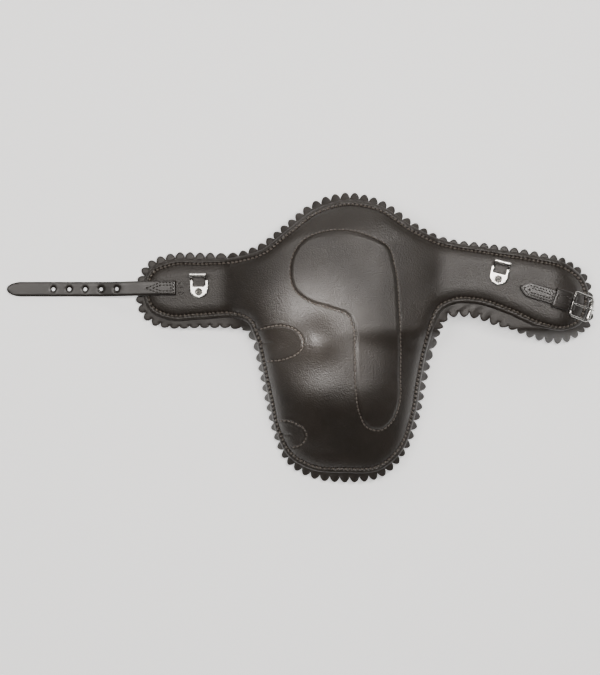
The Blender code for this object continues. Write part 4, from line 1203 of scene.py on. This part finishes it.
def make_roller(placed, half):
    inner, outer = BUCKLE_WIRE / 2 + CLEARANCE, ROLLER / 2
    section = np.array([(inner, -half), (outer - 0.35, -half), (outer - 0.08, -half + 0.12),
                        (outer, -half + 0.4), (outer, 0.0),
                        (outer, half - 0.4), (outer - 0.08, half - 0.12), (outer - 0.35,
                                                                           half), (inner, half), (inner, 0.0)])
    sides = 40
    turn = np.arange(sides) * 2 * math.pi / sides
    points = np.concatenate([np.stack([BUCKLE_REACH + r * np.cos(turn), np.full(sides, y),
                                       r * np.sin(turn)], axis=1)
                             for r, y in section])
    quads = tube_quads(len(section), sides, looped=True)
    piece = make("roller_fine", moved(placed, points), [quads], NICKEL)
    fix_normals(piece)
    piece.data.set_sharp_from_angle(angle=math.radians(50))
    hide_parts("roller")
    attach(piece, "roller")


def make_tongue(placed):
    """A wire curled round the heel bar whose blade tapers and rests on the roller."""
    inner = BUCKLE_WIRE / 2 + CLEARANCE
    outer = inner + TONGUE_RING
    rest = ROLLER / 2 + CLEARANCE
    turn = np.linspace(math.radians(62), math.radians(338), 40)
    edge = [(outer * math.cos(t), outer * math.sin(t)) for t in turn]
    tip = BUCKLE_REACH + TONGUE_OVERHANG
    blade = [(outer + 1.5, -0.4), (BUCKLE_REACH - 5, rest - 0.8), (BUCKLE_REACH - 1, rest), (tip, rest - 0.4),
             (tip + 0.6, rest + 0.4), (tip - 0.4, rest + 1.1), (BUCKLE_REACH - 2,
                                                                rest + 1.7), (outer + 1.5, 2.2)]
    outline = thinned(np.array(edge + blade), 0.5)
    hole = ring((0, 0), 2 * inner, 40)
    flat = flat_mesh([outline[::-1], hole], 0.7, rings=(0.25,))

    def place(a, b, level):
        return moved(placed, np.stack([a, level, b], axis=-1))

    def top(points, gap):
        taper = 1 - 0.35 * ease((points[:, 0] - BUCKLE_REACH + 6) / 9)
        return TONGUE / 2 * taper - rounded(gap, 0.55)

    piece = whole("tongue_fine", flat, top, lambda points, gap: -top(points, gap), place, NICKEL)
    fix_normals(piece)
    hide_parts("tongue")
    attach(piece, "tongue")


# ---- inner pieces that stay as the frame has them ----
def finish_inner_pieces():
    for name in ("panel_insert", "upper_dart_stay", "lower_dart_stay"):
        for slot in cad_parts[name].material_slots:
            slot.material = BOARD


# ---- camera, floor and light ----
def make_stage():
    low, high = CAD_BOX
    floor_z = min(0.0, low[2]) - 0.0003
    bpy.ops.mesh.primitive_plane_add(size=12, location=(0, 0, floor_z))
    floor = bpy.context.object
    floor.name = "floor"
    made, tree, shader = new_material("pale_floor")
    speck = node(tree, "ShaderNodeTexNoise", Scale=40.0, Detail=3.0)
    tree.links.new(node(tree, "ShaderNodeTexCoord").outputs["Object"], speck.inputs["Vector"])
    tree.links.new(toned(tree, speck.outputs["Fac"], (0.86, 0.86, 0.855), (0.88, 0.88, 0.875)),
                   shader.inputs["Base Color"])
    shader.inputs["Roughness"].default_value = 0.9
    shader.inputs["Specular IOR Level"].default_value = 0.1
    shader.inputs["Emission Color"].default_value = (1, 1, 1, 1)
    shader.inputs["Emission Strength"].default_value = 0.75
    floor.data.materials.append(made)


def area_light(name, place, aim, size, power, colour=(1, 1, 1)):
    light = bpy.data.lights.new(name, "AREA")
    light.shape = "RECTANGLE"
    light.size, light.size_y = size
    light.energy = power
    light.color = colour
    made = bpy.data.objects.new(name, light)
    made.location = place
    made.rotation_euler = (Vector(aim) - Vector(place)).to_track_quat("-Z", "Y").to_euler()
    made.visible_camera = False
    bpy.context.scene.collection.objects.link(made)
    return made


def spot_light(name, place, aim, cone, power, colour):
    light = bpy.data.lights.new(name, "SPOT")
    light.spot_size = math.radians(cone)
    light.spot_blend = 1.0
    light.shadow_soft_size = 0.05
    light.energy = power
    light.color = colour
    made = bpy.data.objects.new(name, light)
    made.location = place
    made.rotation_euler = (Vector(aim) - Vector(place)).to_track_quat("-Z", "Y").to_euler()
    bpy.context.scene.collection.objects.link(made)


def make_light():
    warm = (1.0, 0.955, 0.915)
    area_light("left_softbox", (-0.92, 0.35, 2.0), (-0.1, 0.05, 0.0), (0.46, 1.1), 21, warm)
    area_light("right_softbox", (0.50, 0.35, 2.0), (0.1, 0.05, 0.0), (0.26, 1.0), 32, warm)
    area_light("left_fill", (-0.92, -0.65, 2.0), (-0.1, 0.0, 0.0), (0.46, 0.9), 0.8, warm)
    area_light("right_fill", (0.50, -0.65, 2.0), (0.1, 0.0, 0.0), (0.26, 0.9), 1.2, warm)
    area_light("back_softbox", (0.0, 2.7, 1.5), (0.0, 0.1, 0.0), (2.4, 0.9), 30, warm)
    spot_light("key", (-0.76, -0.003, 2.0), (0.020, 0.006, 0.06), 2.2, 1050, warm)
    area_light("left_side", (-3.0, -0.5, 0.8), (0, 0, 0), (1.2, 1.0), 2)
    area_light("right_side", (3.0, 0.3, 0.6), (0, 0, 0), (1.2, 0.8), 8)
    world = bpy.data.worlds.new("studio")
    world.use_nodes = True
    world.node_tree.nodes["Background"].inputs["Color"].default_value = (1.0, 0.99, 0.98, 1)
    world.node_tree.nodes["Background"].inputs["Strength"].default_value = 0.05
    bpy.context.scene.world = world


def make_camera():
    """Straight above, far away, with the object's own frame upright in the picture."""
    camera = bpy.data.cameras.new("camera")
    distance, frame_height, middle = 4.0, 0.7243, 0.025
    camera.sensor_width = camera.sensor_height = 36.0
    camera.lens = 36.0 * (distance - middle) / frame_height
    camera.clip_end = 50
    made = bpy.data.objects.new("camera", camera)
    made.location = (0.0003, 0.0005, distance)
    bpy.context.scene.collection.objects.link(made)
    bpy.context.scene.camera = made


make_stage()
make_light()
make_camera()
make_pad()
make_pad_stitches()
make_strap()
for side, place, body in (("left", LEFT_HANGER, "left_arm"), ("right", RIGHT_HANGER, "right_arm")):
    make_hanger(side, place, body)
    make_rivet(side, place, body)
make_chape()
make_keeper()
make_buckle()
finish_inner_pieces()
